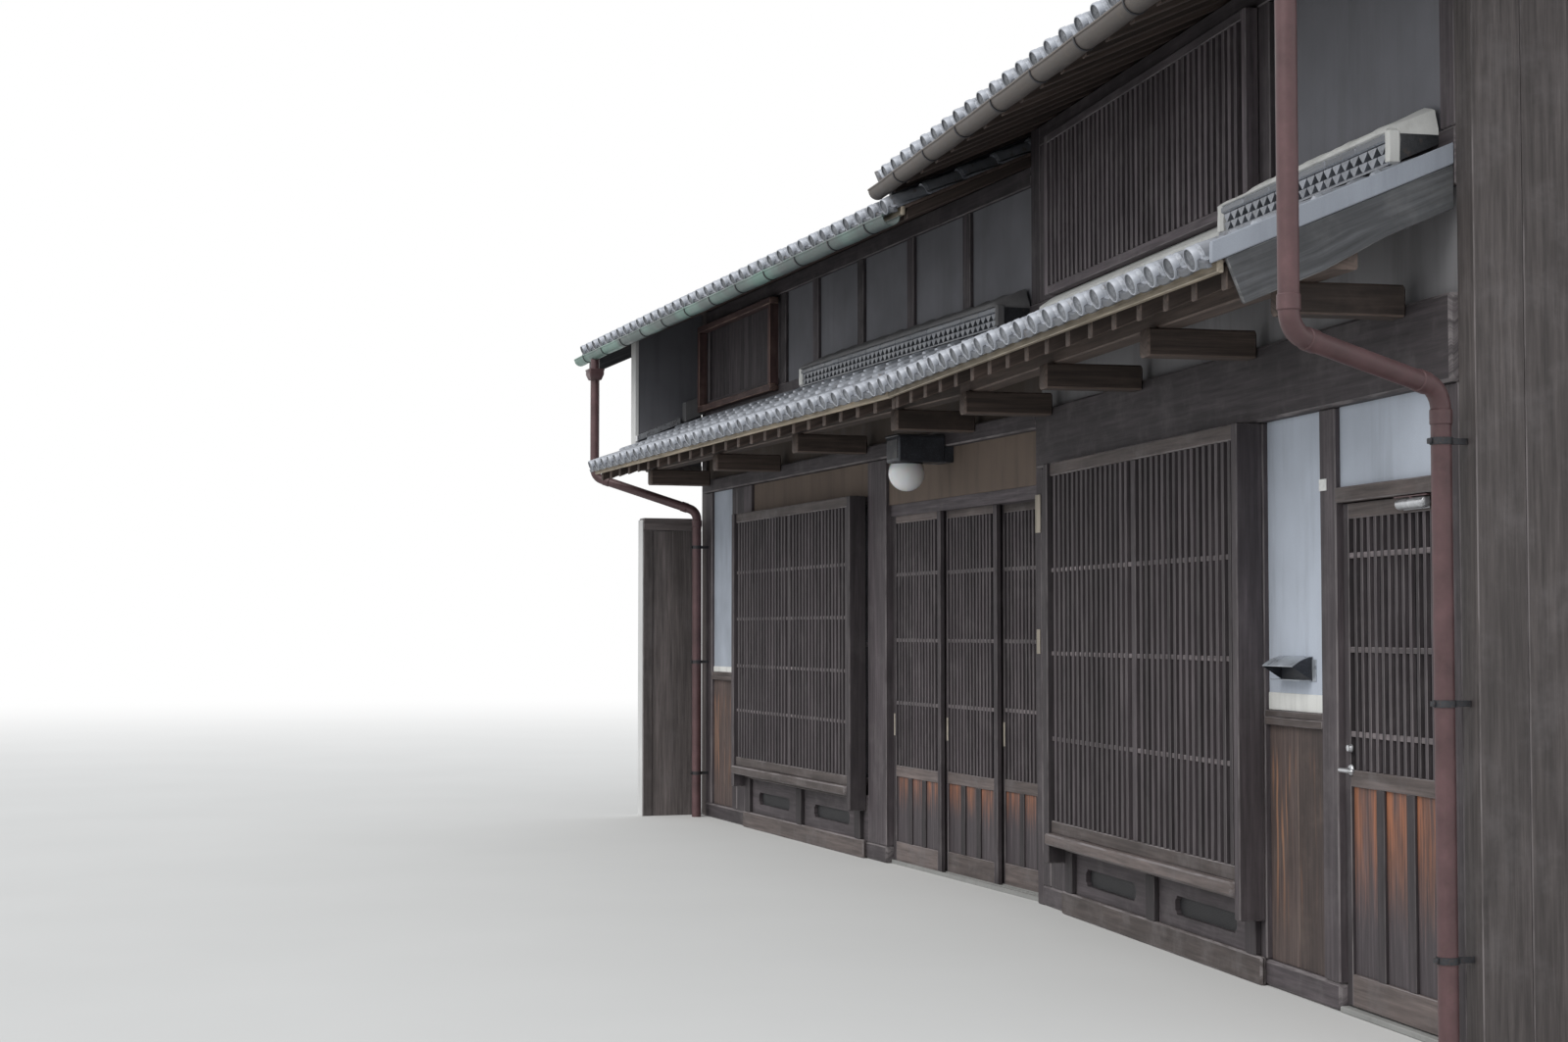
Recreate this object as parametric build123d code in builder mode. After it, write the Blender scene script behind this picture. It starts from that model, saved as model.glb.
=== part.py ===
from build123d import *

import os
from math import cos, radians, tan

os.makedirs("parts", exist_ok=True)

# A two-storey timber townhouse of a merchants' street. Its front has two wings that
# meet at a slight bend, under one unbroken pent roof. All lengths are in millimetres.
# The origin is on the ground, in the middle of the foot of the post at the bend. X runs
# right along the left wing's front, Y runs into the house, Z is up. Each wing measures
# its own x, y and z from the bend's front corner: the left wing's run along the axes
# above, and the right wing's are turned by the bend.

# Plan
FRONT_BEND = 6.3  # degrees by which the right wing's front turns towards the street
LEFT_WIDTH = 6600.0
RIGHT_WIDTH = 4800.0
DEPTH = 7300.0
WALL = 120.0  # thickness of the side and back walls
POST = 120.0  # depth of the front posts
CONTACT = 0.3  # running gap under a leaf or beside a part that must stay free
CLEAR = 5.0  # clearance round everything that moves

# Levels of the ground storey
FLOOR_TOP = 40.0
FLOOR_SETBACK = 240.0  # the floor starts this far behind the front
GROUND_BEAM_TOP = 110.0
DADO_TOP = 1160.0
DADO_RAIL = 60.0
HEAD_BEAM_BOTTOM = 2380.0
LEFT_BEAM_BOTTOM = 2600.0
HEAD_BEAM_TOP = 2700.0
HEAD_BEAM_DEPTH = 150.0
UPPER_FLOOR = 60.0

# Roofs: the deck's top surface over the front wall's outer face and at the eave
PENT_SLOPE = 0.42
PENT_OVERHANG = 870.0
PENT_EAVE_TOP = 2800.0
ROOF_SLOPE = 0.45
ROOF_OVERHANG = 750.0
LEFT_EAVE_TOP = 3820.0
RIGHT_EAVE_TOP = 4020.0
DECK = 20.0
RAFTER_WIDTH = 50.0
RAFTER_DEPTH = 60.0
RAFTER_PITCH = 285.0
RAFTER_INSET = 20.0
FASCIA = 25.0
FASCIA_DEPTH = 55.0
TILE_PITCH = 200.0
TILE_PAN = 25.0  # thickness of a tile's pan over the deck
TILE_ROLL = 55.0  # height of a tile's roll over its pan
TILE_ROLL_SHARE = 0.45  # part of the pitch that the roll takes
TILE_CROWN = ((0.0, 0.0), (0.18, 0.75), (0.5, 1.0), (0.82, 0.75), (1.0, 0.0))  # shares of a roll
TILE_NOSE = 30.0  # how far the tiles pass the fascia
DISC_RADIUS = 40.0
DISC_THICK = 22.0
LEFT_VERGE = 780.0  # the left roof's reach past the left wall
LEFT_RIDGE_STOP = 20.0  # the left ridge ends this far short of the right roof
RIGHT_ROOF_LAP = 460.0  # the right roof's reach past the bend, over the left roof
RIGHT_VERGE = 380.0
PENT_SETBACK = 150.0  # the pent roof ends this far short of the right wall
SKIRT = (24.0, 75.0)  # thickness and depth of the verge tiles' hanging side
SKIRT_DROP = 5.0
PENT_VERGE = (20.0, 160.0)  # thickness and depth of the board under them

# Pent brackets
ARM_BOTTOM = 2650.0
ARM_DEPTH = 120.0
ARM_WIDTH = 110.0
ARM_REACH = 520.0
PURLIN_SETBACK = 45.0
PURLIN_WIDTH = 110.0
LEFT_ARM_SETBACK = 290.0  # from the left wall's face
LEFT_ARM_STOP = 900.0  # from the bend to the last arm
LEFT_ARM_PITCH = 1800.0
RIGHT_ARM_START = 240.0
RIGHT_ARM_SETBACK = 500.0  # from the right wall's face
RIGHT_ARM_PITCH = 1350.0

# Front openings of the left wing
ENTRY_LEFT = 2400.0
WIDE_POST = 330.0
END_POST = 160.0
KINK_POST = 70.0
LEFT_LATTICE_RIGHT = 2760.0
LEFT_PANEL_WIDTH = 560.0
LEFT_PANEL_POST = 370.0  # between the panel and the lattice
# Front openings of the right wing
RIGHT_LATTICE_START = 386.0
RIGHT_PANEL_WIDTH = 560.0
DOOR_POST = 140.0
DOOR_OPENING = 850.0

# Lattice windows
LATTICE_REACH = 100.0
LATTICE_FRAME = 55.0
LATTICE_FOOT = 65.0  # the rail that the bars stand on
LATTICE_SIDE_REACH = 20.0  # the side boards' reach past the bars
LATTICE_TAIL = 160.0  # how far the side boards hang below the sill's top
LATTICE_HEAD_BOTTOM = 2310.0
BAR_WIDTH = 30.0
BAR_DEPTH = 36.0
RAIL_HEIGHT = 22.0
RAIL_DEPTH = 14.0
LEFT_BARS = 17
RIGHT_BARS = 16
LEFT_RAILS = (888.0, 1224.0, 1578.0, 1930.0)
RIGHT_RAILS = (924.0, 1373.0, 1812.0)
SILL_HEIGHT = 60.0
SILL_REACH = 40.0
LEFT_SILL_TOP = 470.0
RIGHT_SILL_TOP = 430.0
VENT_THICK = 24.0
VENT_FRAME = 28.0  # how far the vent panels' frame stands out
VENT_STILE = 110.0
VENT_TOP_RAIL = 35.0
VENT_BOTTOM_RAIL = 120.0
VENT_SLOT = (720.0, 88.0)
VENT_LEVELS = (237.0, 222.0)  # slot centres of the left and right window
VENT_CUSP = 20.0
WINDOW_SASHES = 4
WINDOW_SASH_INSET = 60.0
WINDOW_SASH_THICK = 30.0
WINDOW_PANE = 5.0

# Entry doors: sliding leaves, each on its own track
TRACKS = 3
LEAF_LAP = 40.0
LEAF_THICK = 30.0
TRACK_PITCH = 44.0
TRACK_INSET = 50.0  # from the front face of the posts to the first track
TRACK_MARGIN = 12.0
THRESHOLD_TOP = 26.0
GROOVE = 6.0
HEAD_RAIL_BOTTOM = 2225.0
HEAD_RAIL_HEIGHT = 75.0
HEAD_GROOVE = 20.0
LEAF_STILE = 50.0
LEAF_TOP_RAIL = 60.0
LEAF_BOTTOM_RAIL = 125.0
LEAF_BOARD_TOP = 560.0
LEAF_MID_RAIL = 70.0
LEAF_BARS = 13
LEAF_BAR_WIDTH = 22.0
LEAF_RAILS = (1030.0, 1430.0, 1850.0)
LEAF_PANEL = 8.0
LEAF_PANE = 4.0  # the glass behind the bars
BAR_SHARE = 0.5  # the bars' part of a leaf's thickness
RAIL_SHARE = 0.33  # the same for the flat rails behind them
LEAF_BATTENS = 2
BATTEN_WIDTH = 62.0
PULL = (24.0, 140.0)
PULL_DEPTH = 6.0
PULL_BOTTOM = 820.0

# Side door: one leaf hinged at its right edge, opening towards the street
DOOR_BOTTOM = 30.0
DOOR_HEIGHT = 1965.0
DOOR_THICK = 36.0
DOOR_INSET = 30.0
DOOR_MID_RAIL = (885.0, 950.0)
DOOR_BARS = 12
DOOR_RAILS = (1090.0, 1420.0, 1790.0)
DOOR_SILL_TOP = 24.0
TRANSOM_RAIL = 60.0
LEVER_HEIGHT = 950.0
LEVER_LENGTH = 120.0
LEVER_RADIUS = 9.0
LEVER_SETBACK = 60.0
LEVER_STAND_OFF = 48.0
HINGE_RADIUS = 7.0
HINGE_HEIGHT = 90.0
HINGE_PLATE = 3.0
HINGE_LEVELS = (230.0, 960.0, 1700.0)
HINGE_OFFSET = 7.5
CLOSER = (220.0, 42.0, 48.0)
CLOSER_SETBACK = 100.0
CLOSER_ARM = (260.0, 18.0, 6.0)
CLOSER_ARM_STAND_OFF = 14.0

# Infill between the posts
INFILL = 60.0
INFILL_INSET = 25.0
BOARD = 18.0
DADO_BOARD = 280.0  # width of the dado boards
SHUTTER_BOARD = 95.0  # width of the shutter boards
BOARD_JOINT = 4.0

# Upper storey
UPPER_FRAME = 100.0
UPPER_SILL = 3300.0
SHUTTER_SETBACK = 100.0  # from the left wall's face
SHUTTER_WIDTH = 1900.0
SHUTTER_LEVELS = (3256.0, 3900.0)
SHUTTER_RAIL = 50.0
SHUTTER_REACH = 70.0
UPPER_POST_WIDTH = 110.0
SHUTTER_POST = 100.0  # from the shutter window to its post's middle
FIRST_BAY = 720.0  # the narrow bay beside the shutter window
UPPER_BAY = 910.0
LAST_UPPER_POST = 1050.0  # from the bend
UPPER_LATTICE_START = 250.0
UPPER_LATTICE_BARS = 38
UPPER_LATTICE_REACH = 60.0
UPPER_RAILS = (3560.0, 3830.0)
BAND_HEIGHT = 150.0  # at the wall
BAND_FACE = 165.0  # at its front
BAND_DEPTH = 200.0
LEFT_BAND_INSET = 250.0  # from the narrow bay's post
LEFT_BAND_STOP = 140.0
RIGHT_BAND_START = 30.0  # past the lattice's end
RIGHT_BAND_STOP = 120.0
MORTAR = (90.0, 25.0)  # depth and front height of the mortar under the upper lattice
FLASHING = (60.0, 45.0)  # width and height of the strip along the sleeve wall

# Ridge and verges
RIDGE_WIDTH = 210.0
RIDGE_COURSES = 4
RIDGE_COURSE = 38.0
RIDGE_CAP = 75.0
VERGE_BOARD = 30.0
VERGE_BOARD_DEPTH = 190.0
VERGE_LAP_DEPTH = 105.0  # the same board where it laps over the left roof

# Gutters and downspouts
GUTTER_RADIUS = 52.0
GUTTER_WALL = 4.0
GUTTER_DROP = 45.0
HOOK_WIDTH = 14.0
HOOK_WALL = 5.0
HOOK_PITCH = 600.0
PIPE_RADIUS = 37.0
PIPE_BEND = 90.0
PIPE_STAND_OFF = 100.0
CLAMP_WIDTH = 26.0
PIPE_CLAMPS = (350.0, 1240.0, 2160.0)
LEFT_PIPE_HEAD = 270.0  # past the left wall's face
LEFT_PIPE_FOOT = 200.0  # inside it
LEFT_PIPE_BENDS = (2740.0, 2450.0)
RIGHT_PIPE_HEAD = 300.0  # past the right wall's face
RIGHT_PIPE_FOOT = 60.0  # inside it
RIGHT_PIPE_BENDS = (2480.0, 2345.0)
HOPPER = (160.0, 130.0, 90.0)  # the rainwater head: width, depth and height
HOPPER_NECK = 80.0

# Sleeve wall at the left end
SLEEVE_THICK = 140.0
SLEEVE_REACH = 490.0
SLEEVE_UPPER_REACH = 560.0
SLEEVE_TOP = 2400.0
SLEEVE_UPPER_BOTTOM = 2790.0

# Lamp, plates and mail hood
LAMP_X = -1420.0
LAMP_RADIUS = 110.0
LAMP_REACH = 262.0
LAMP_CENTRE = 2441.0
LAMP_BOX = (220.0, 361.0, 165.0)
LAMP_BOX_BOTTOM = 2505.0
HOOD_WIDTH = 300.0
HOOD_REACH = 90.0
HOOD_LEVELS = (1290.0, 1390.0)
HOOD_WALL = 4.0
HOOD_LIP = 1350.0
PLATE_WIDTHS = (64.0, 40.0)
PLATE_LEVELS = ((2030.0, 2240.0), (1365.0, 1500.0))
PLATE_THICK = 8.0

# Back windows
BACK_WINDOW = (1500.0, 900.0)
BACK_SILL = 1000.0
BACK_UPPER_SILL = 3150.0
BACK_UPPER_HEIGHT = 600.0
SASH = 45.0
SASH_THICK = 40.0
PANE = 6.0

# Sides of the polygons that stand for circles
ROUND = 16
SMALL_ROUND = 12
FINE_ROUND = 10

BEND_POINT = (KINK_POST / 2, -POST / 2, 0.0)
left_plan = Plane(origin=BEND_POINT)
right_plan = left_plan.rotated((0, 0, -FRONT_BEND))


def export(piece, name):
    """Label a finished piece and write it to its own file."""
    piece.part.label = name
    export_step(piece.part, f"parts/{name}.step")


def centre(pair):
    """The middle of a range."""
    return (pair[0] + pair[1]) / 2


def length(pair):
    """The length of a range."""
    return pair[1] - pair[0]


def about(middle, width):
    """The range of a given width about a middle."""
    return (middle - width / 2, middle + width / 2)


def evenly(span, pitch):
    """Places spread evenly over a span, about a pitch apart, both ends included."""
    steps = max(1, round(length(span) / pitch))
    return [span[0] + length(span) * step / steps for step in range(steps + 1)]


def between(span, count):
    """The middles of a number of like things that stand evenly in a span, with equal gaps."""
    return [span[0] + length(span) * (step + 1) / (count + 1) for step in range(count)]


def across(plan, x):
    """The plane across a wing at x, whose own axes are the wing's y and z."""
    return Plane(origin=plan.from_local_coords((x, 0, 0)), x_dir=plan.y_dir, z_dir=plan.x_dir)


def facing(plan, y):
    """The plane of a front at depth y, whose own axes are the wing's x and z."""
    return Plane(origin=plan.from_local_coords((0, y, 0)), x_dir=plan.x_dir, z_dir=-plan.y_dir)


def block(plan, x, y, z, mode=Mode.ADD):
    """A straight timber or slab that fills three ranges of a wing's own axes."""
    with BuildSketch(plan.offset(z[0])) as outline:
        with Locations((centre(x), centre(y))):
            Rectangle(length(x), length(y))
    extrude(outline.sketch, amount=length(z), mode=mode)


def uprights(plan, places, width, y, levels):
    """Like uprights of one width side by side, all made at once."""
    with BuildSketch(facing(plan, y[1])) as outline:
        with Locations([(place, centre(levels)) for place in places]):
            Rectangle(width, length(levels))
    extrude(outline.sketch, amount=length(y))


def profile(plan, x, points, mode=Mode.ADD):
    """A piece with one outline of (y, z) points all along a range of x."""
    with BuildSketch(across(plan, x[0])) as outline:
        with BuildLine():
            Polyline(*points, close=True)
        make_face()
    extrude(outline.sketch, amount=length(x), mode=mode)


def slope_strip(y, level, slope, thick):
    """The outline of a layer of a given upright thickness, whose underside starts at level."""
    rise = slope * length(y)
    return ((y[0], level), (y[1], level + rise), (y[1], level + rise + thick), (y[0], level + thick))


def pent_top(y):
    """The height of the pent deck's top surface at y."""
    return PENT_EAVE_TOP + PENT_SLOPE * (y + PENT_OVERHANG)


def roof_top(eave, y):
    """The height of a main deck's top surface at y, on the front slope."""
    return eave + ROOF_SLOPE * (y + ROOF_OVERHANG)


# What follows from the sizes above
HALF_DEPTH = DEPTH / 2
PARTY_DEPTH = DEPTH / cos(radians(FRONT_BEND))
SWEEP = (DEPTH + 2 * ROOF_OVERHANG) * tan(radians(FRONT_BEND)) + 2 * RIGHT_ROOF_LAP
ROOF_STRUCTURE = DECK + RAFTER_DEPTH
UPPER_FLOOR_TOP = HEAD_BEAM_TOP + UPPER_FLOOR
PENT_UNDERSIDE = pent_top(0) - ROOF_STRUCTURE
LEFT_UNDERSIDE = roof_top(LEFT_EAVE_TOP, 0) - ROOF_STRUCTURE
RIGHT_UNDERSIDE = roof_top(RIGHT_EAVE_TOP, 0) - ROOF_STRUCTURE
ENTRY_DEPTH = TRACK_INSET + TRACKS * TRACK_PITCH + TRACK_MARGIN
LEFT_INSIDE = -LEFT_WIDTH + WALL
RIGHT_INSIDE = RIGHT_WIDTH - WALL
FRAME = (0.0, POST)
INFILL_FACE = (INFILL_INSET, INFILL_INSET + INFILL)

# Spans along the front. The lattices take what the pieces beside them leave.
LEFT_PANEL = (LEFT_INSIDE + END_POST, LEFT_INSIDE + END_POST + LEFT_PANEL_WIDTH)
LEFT_LATTICE = (LEFT_PANEL[1] + LEFT_PANEL_POST, -LEFT_LATTICE_RIGHT)
WIDE_POST_SPAN = (-ENTRY_LEFT - WIDE_POST, -ENTRY_LEFT)
LEFT_WINDOW = (LEFT_LATTICE[0] + WALL, WIDE_POST_SPAN[0])
ENTRY = (-ENTRY_LEFT, -KINK_POST)
SIDE_DOOR = (RIGHT_INSIDE - END_POST - DOOR_OPENING, RIGHT_INSIDE - END_POST)
RIGHT_PANEL = (SIDE_DOOR[0] - DOOR_POST - RIGHT_PANEL_WIDTH, SIDE_DOOR[0] - DOOR_POST)
RIGHT_LATTICE = (RIGHT_LATTICE_START, RIGHT_PANEL[0])
RIGHT_WINDOW = (RIGHT_LATTICE[0] + WALL, RIGHT_LATTICE[1] - WALL)
TRANSOM = (DOOR_BOTTOM + DOOR_HEIGHT + CLEAR, DOOR_BOTTOM + DOOR_HEIGHT + CLEAR + TRANSOM_RAIL)
SHUTTER_SPAN = (-LEFT_WIDTH + SHUTTER_SETBACK, -LEFT_WIDTH + SHUTTER_SETBACK + SHUTTER_WIDTH)
UPPER_LATTICE = (UPPER_LATTICE_START, RIGHT_LATTICE[1])
LEFT_ARMS = evenly((-LEFT_WIDTH + LEFT_ARM_SETBACK, -LEFT_ARM_STOP), LEFT_ARM_PITCH)
RIGHT_ARMS = evenly((RIGHT_ARM_START, RIGHT_WIDTH - RIGHT_ARM_SETBACK), RIGHT_ARM_PITCH)


def trim_right(reach=0.0):
    """Cut the active piece along the party wall's plane, moved left by a reach."""
    split(bisect_by=across(left_plan, -reach), keep=Keep.TOP)


def rafter_planes(plan, eave):
    """The planes of the undersides of a main roof's rafters, front and back."""
    along = plan.x_dir
    low = plan.from_local_coords((0, 0, roof_top(eave, 0) - ROOF_STRUCTURE))
    high = plan.from_local_coords((0, HALF_DEPTH, roof_top(eave, HALF_DEPTH) - ROOF_STRUCTURE))
    front_run = plan.y_dir + Vector(0, 0, ROOF_SLOPE)
    back_run = plan.y_dir - Vector(0, 0, ROOF_SLOPE)
    return (
        Plane(origin=low, x_dir=along, z_dir=along.cross(front_run)),
        Plane(origin=high, x_dir=along, z_dir=along.cross(back_run)),
    )


def keep_below(planes):
    """Cut the active piece off under both slopes of a roof."""
    for plane in planes:
        split(bisect_by=plane, keep=Keep.BOTTOM)


left_slopes = rafter_planes(left_plan, LEFT_EAVE_TOP)
right_slopes = rafter_planes(right_plan, RIGHT_EAVE_TOP)


# Floors
with BuildPart() as ground_floor:
    block(right_plan, (-SWEEP, RIGHT_INSIDE), (FLOOR_SETBACK, DEPTH - WALL), (0, FLOOR_TOP))
    trim_right()
    block(left_plan, (LEFT_INSIDE, -WALL), (FLOOR_SETBACK, DEPTH - WALL), (0, FLOOR_TOP))
export(ground_floor, "ground_floor")

with BuildPart() as upper_floor:
    block(right_plan, (-SWEEP, RIGHT_INSIDE), (POST, DEPTH - WALL), (HEAD_BEAM_TOP, UPPER_FLOOR_TOP))
    trim_right()
    block(left_plan, (LEFT_INSIDE, -WALL), (POST, DEPTH - WALL), (HEAD_BEAM_TOP, UPPER_FLOOR_TOP))
export(upper_floor, "upper_floor")

# Side walls, plain and up to the rafters
with BuildPart() as left_wall:
    block(left_plan, (-LEFT_WIDTH, LEFT_INSIDE), (0, DEPTH), (0, roof_top(LEFT_EAVE_TOP, HALF_DEPTH)))
    keep_below(left_slopes)
export(left_wall, "left_wall")

with BuildPart() as right_wall:
    block(right_plan, (RIGHT_INSIDE, RIGHT_WIDTH), (0, DEPTH), (0, roof_top(RIGHT_EAVE_TOP, HALF_DEPTH)))
    keep_below(right_slopes)
export(right_wall, "right_wall")

with BuildPart() as party_wall:
    block(left_plan, (-WALL, 0), (ENTRY_DEPTH, PARTY_DEPTH), (0, roof_top(RIGHT_EAVE_TOP, HALF_DEPTH)))
    keep_below(right_slopes)
export(party_wall, "party_wall")

# Back walls, with a window on each storey cut through
LEFT_BACK = (LEFT_INSIDE, -WALL)
RIGHT_BACK = (-DEPTH * tan(radians(FRONT_BEND)), RIGHT_INSIDE)
BACK_FACE = (DEPTH - WALL, DEPTH)
BACK_WINDOWS = ((BACK_SILL, BACK_WINDOW[1]), (BACK_UPPER_SILL, BACK_UPPER_HEIGHT))


def back_wall(plan, span, underside):
    """A back wall with its window openings cut through."""
    block(plan, span, BACK_FACE, (0, underside))
    for sill, height in BACK_WINDOWS:
        opening = about(centre(span), BACK_WINDOW[0])
        block(plan, opening, BACK_FACE, (sill, sill + height), mode=Mode.SUBTRACT)


def back_sash(plan, span, sill, height):
    """A pair of framed sashes with a pane in each, closing one back window."""
    frame = about(centre(BACK_FACE), SASH_THICK)
    pane = about(centre(BACK_FACE), PANE)
    opening = about(centre(span), BACK_WINDOW[0])
    block(plan, opening, frame, (sill, sill + height))
    for light in ((opening[0], centre(opening)), (centre(opening), opening[1])):
        inner = (light[0] + SASH, light[1] - SASH)
        for recess in ((frame[0], pane[0]), (pane[1], frame[1])):
            block(plan, inner, recess, (sill + SASH, sill + height - SASH), mode=Mode.SUBTRACT)


with BuildPart() as back_walls:
    back_wall(right_plan, RIGHT_BACK, RIGHT_UNDERSIDE)
    trim_right()
    back_wall(left_plan, LEFT_BACK, LEFT_UNDERSIDE)
export(back_walls, "back_walls")

with BuildPart() as back_windows:
    for plan, span in ((left_plan, LEFT_BACK), (right_plan, RIGHT_BACK)):
        for sill, height in BACK_WINDOWS:
            back_sash(plan, span, sill, height)
export(back_windows, "back_windows")

# Frame of the ground storey's front
with BuildPart() as front_posts:
    right_posts = (
        (0, RIGHT_WINDOW[0]),
        (RIGHT_WINDOW[1], RIGHT_LATTICE[1]),
        (RIGHT_PANEL[1], SIDE_DOOR[0]),
    )
    for post in right_posts:
        block(right_plan, post, FRAME, (GROUND_BEAM_TOP, HEAD_BEAM_BOTTOM))
    block(right_plan, (SIDE_DOOR[1], RIGHT_INSIDE), FRAME, (0, HEAD_BEAM_BOTTOM))
    for post in ((LEFT_INSIDE, LEFT_PANEL[0]), (LEFT_PANEL[1], LEFT_WINDOW[0]), WIDE_POST_SPAN):
        block(left_plan, post, FRAME, (GROUND_BEAM_TOP, LEFT_BEAM_BOTTOM))
    block(left_plan, (-KINK_POST, 0), FRAME, (0, LEFT_BEAM_BOTTOM))
export(front_posts, "front_posts")

with BuildPart() as ground_beams:
    block(right_plan, (0, SIDE_DOOR[0]), FRAME, (0, GROUND_BEAM_TOP))
    trim_right()
    block(left_plan, (LEFT_INSIDE, -ENTRY_LEFT), FRAME, (0, GROUND_BEAM_TOP))
export(ground_beams, "ground_beams")

HEAD_BEAM_FACE = (POST - HEAD_BEAM_DEPTH, POST)
with BuildPart() as head_beam_right:
    block(right_plan, (-SWEEP, RIGHT_INSIDE), HEAD_BEAM_FACE, (HEAD_BEAM_BOTTOM, HEAD_BEAM_TOP))
    trim_right()
export(head_beam_right, "head_beam_right")

with BuildPart() as head_beam_left:
    block(left_plan, (LEFT_INSIDE, 0), HEAD_BEAM_FACE, (LEFT_BEAM_BOTTOM, HEAD_BEAM_TOP))
export(head_beam_left, "head_beam_left")

# Infill of the ground storey: clay over the openings, plaster panels, board dados
with BuildPart() as clay_walls:
    block(left_plan, LEFT_WINDOW, INFILL_FACE, (HEAD_BEAM_BOTTOM, LEFT_BEAM_BOTTOM))
    block(left_plan, ENTRY, INFILL_FACE, (HEAD_RAIL_BOTTOM + HEAD_RAIL_HEIGHT, LEFT_BEAM_BOTTOM))
export(clay_walls, "clay_walls")

with BuildPart() as plaster_panels:
    block(left_plan, LEFT_PANEL, INFILL_FACE, (DADO_TOP, LEFT_BEAM_BOTTOM))
    block(right_plan, RIGHT_PANEL, INFILL_FACE, (DADO_TOP, HEAD_BEAM_BOTTOM))
    block(right_plan, SIDE_DOOR, INFILL_FACE, (TRANSOM[1], HEAD_BEAM_BOTTOM))
export(plaster_panels, "plaster_panels")


def boarding(plan, span, front, levels, board):
    """Upright boards of about one width, with open joints, on a backing board."""
    block(plan, span, (front + BOARD, front + 2 * BOARD), levels)
    seams = evenly(span, board)
    boards = [centre(pair) for pair in zip(seams, seams[1:])]
    uprights(plan, boards, seams[1] - seams[0] - BOARD_JOINT, (front, front + BOARD), levels)


with BuildPart() as dado_boards:
    for plan, span in ((left_plan, LEFT_PANEL), (right_plan, RIGHT_PANEL)):
        boarding(plan, span, INFILL_INSET, (GROUND_BEAM_TOP, DADO_TOP - DADO_RAIL), DADO_BOARD)
        block(plan, span, (0, INFILL_INSET + 2 * BOARD), (DADO_TOP - DADO_RAIL, DADO_TOP))
export(dado_boards, "dado_boards")

with BuildPart() as upper_infill:
    block(right_plan, (0, RIGHT_INSIDE), INFILL_FACE, (HEAD_BEAM_TOP, PENT_UNDERSIDE))
    trim_right()
    block(left_plan, (LEFT_INSIDE, 0), INFILL_FACE, (HEAD_BEAM_TOP, PENT_UNDERSIDE))
export(upper_infill, "upper_infill")

# Lattice windows: square bars before flat rails, in a box that stands out of the wall
LATTICE_FRONT = -LATTICE_REACH
LATTICE_HEAD = (LATTICE_HEAD_BOTTOM, HEAD_BEAM_BOTTOM)


def lattice(plan, span, front, levels, bars, rails):
    """Upright bars over a span, fused to the flat rails behind them."""
    uprights(plan, between(span, bars), BAR_WIDTH, (front, front + BAR_DEPTH), levels)
    with BuildSketch(facing(plan, front + BAR_DEPTH + RAIL_DEPTH)) as cross:
        with Locations([(centre(span), rail) for rail in rails]):
            Rectangle(length(span), RAIL_HEIGHT)
    extrude(cross.sketch, amount=RAIL_DEPTH)


def lattice_window(plan, span, sill_top, bars, rails):
    """A two-bay lattice window with its header, sill, foot rail and hanging side boards."""
    box = (LATTICE_FRONT, 0)
    board = (LATTICE_FRONT - LATTICE_SIDE_REACH, 0)
    foot_top = sill_top + LATTICE_FOOT
    inner = (span[0] + LATTICE_FRAME, span[1] - LATTICE_FRAME)
    middle = about(centre(span), LATTICE_FRAME)
    for side in ((span[0], inner[0]), (inner[1], span[1])):
        block(plan, side, board, (sill_top - LATTICE_TAIL, LATTICE_HEAD[1]))
    block(plan, inner, box, LATTICE_HEAD)
    block(plan, inner, (LATTICE_FRONT - SILL_REACH, 0), (sill_top - SILL_HEIGHT, sill_top))
    block(plan, inner, box, (sill_top, foot_top))
    block(plan, middle, box, (foot_top, LATTICE_HEAD_BOTTOM))
    for bay in ((inner[0], middle[0]), (middle[1], inner[1])):
        lattice(plan, bay, LATTICE_FRONT, (foot_top, LATTICE_HEAD_BOTTOM), bars, rails)


with BuildPart() as lattice_window_left:
    lattice_window(left_plan, LEFT_LATTICE, LEFT_SILL_TOP, LEFT_BARS, LEFT_RAILS)
export(lattice_window_left, "lattice_window_left")

with BuildPart() as lattice_window_right:
    lattice_window(right_plan, RIGHT_LATTICE, RIGHT_SILL_TOP, RIGHT_BARS, RIGHT_RAILS)
export(lattice_window_right, "lattice_window_right")


def vent_slot(plan, middle, level):
    """Cut one slot with quarter-round bites out of its corners, right through the panel."""
    with BuildSketch(facing(plan, VENT_THICK)) as slot:
        with Locations((middle, level)):
            Rectangle(*VENT_SLOT)
            with GridLocations(VENT_SLOT[0], VENT_SLOT[1], 2, 2):
                RegularPolygon(VENT_CUSP, SMALL_ROUND, mode=Mode.SUBTRACT)
    extrude(slot.sketch, amount=VENT_THICK, mode=Mode.SUBTRACT)


def lattice_base(plan, span, window, top, slot_level):
    """Two vent panels set back under the sill, in a frame of rails and stiles."""
    proud = (-VENT_FRAME, 0)
    block(plan, window, (0, VENT_THICK), (GROUND_BEAM_TOP, top))
    block(plan, span, proud, (0, VENT_BOTTOM_RAIL))
    inner = (span[0] + LATTICE_FRAME, span[1] - LATTICE_FRAME)
    block(plan, inner, proud, (top - VENT_TOP_RAIL, top))
    for stile in (
        (inner[0], inner[0] + VENT_STILE),
        about(centre(span), VENT_STILE),
        (inner[1] - VENT_STILE, inner[1]),
    ):
        block(plan, stile, proud, (VENT_BOTTOM_RAIL, top - VENT_TOP_RAIL))
    for bay in ((inner[0], centre(span)), (centre(span), inner[1])):
        vent_slot(plan, centre(bay), slot_level)


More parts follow.
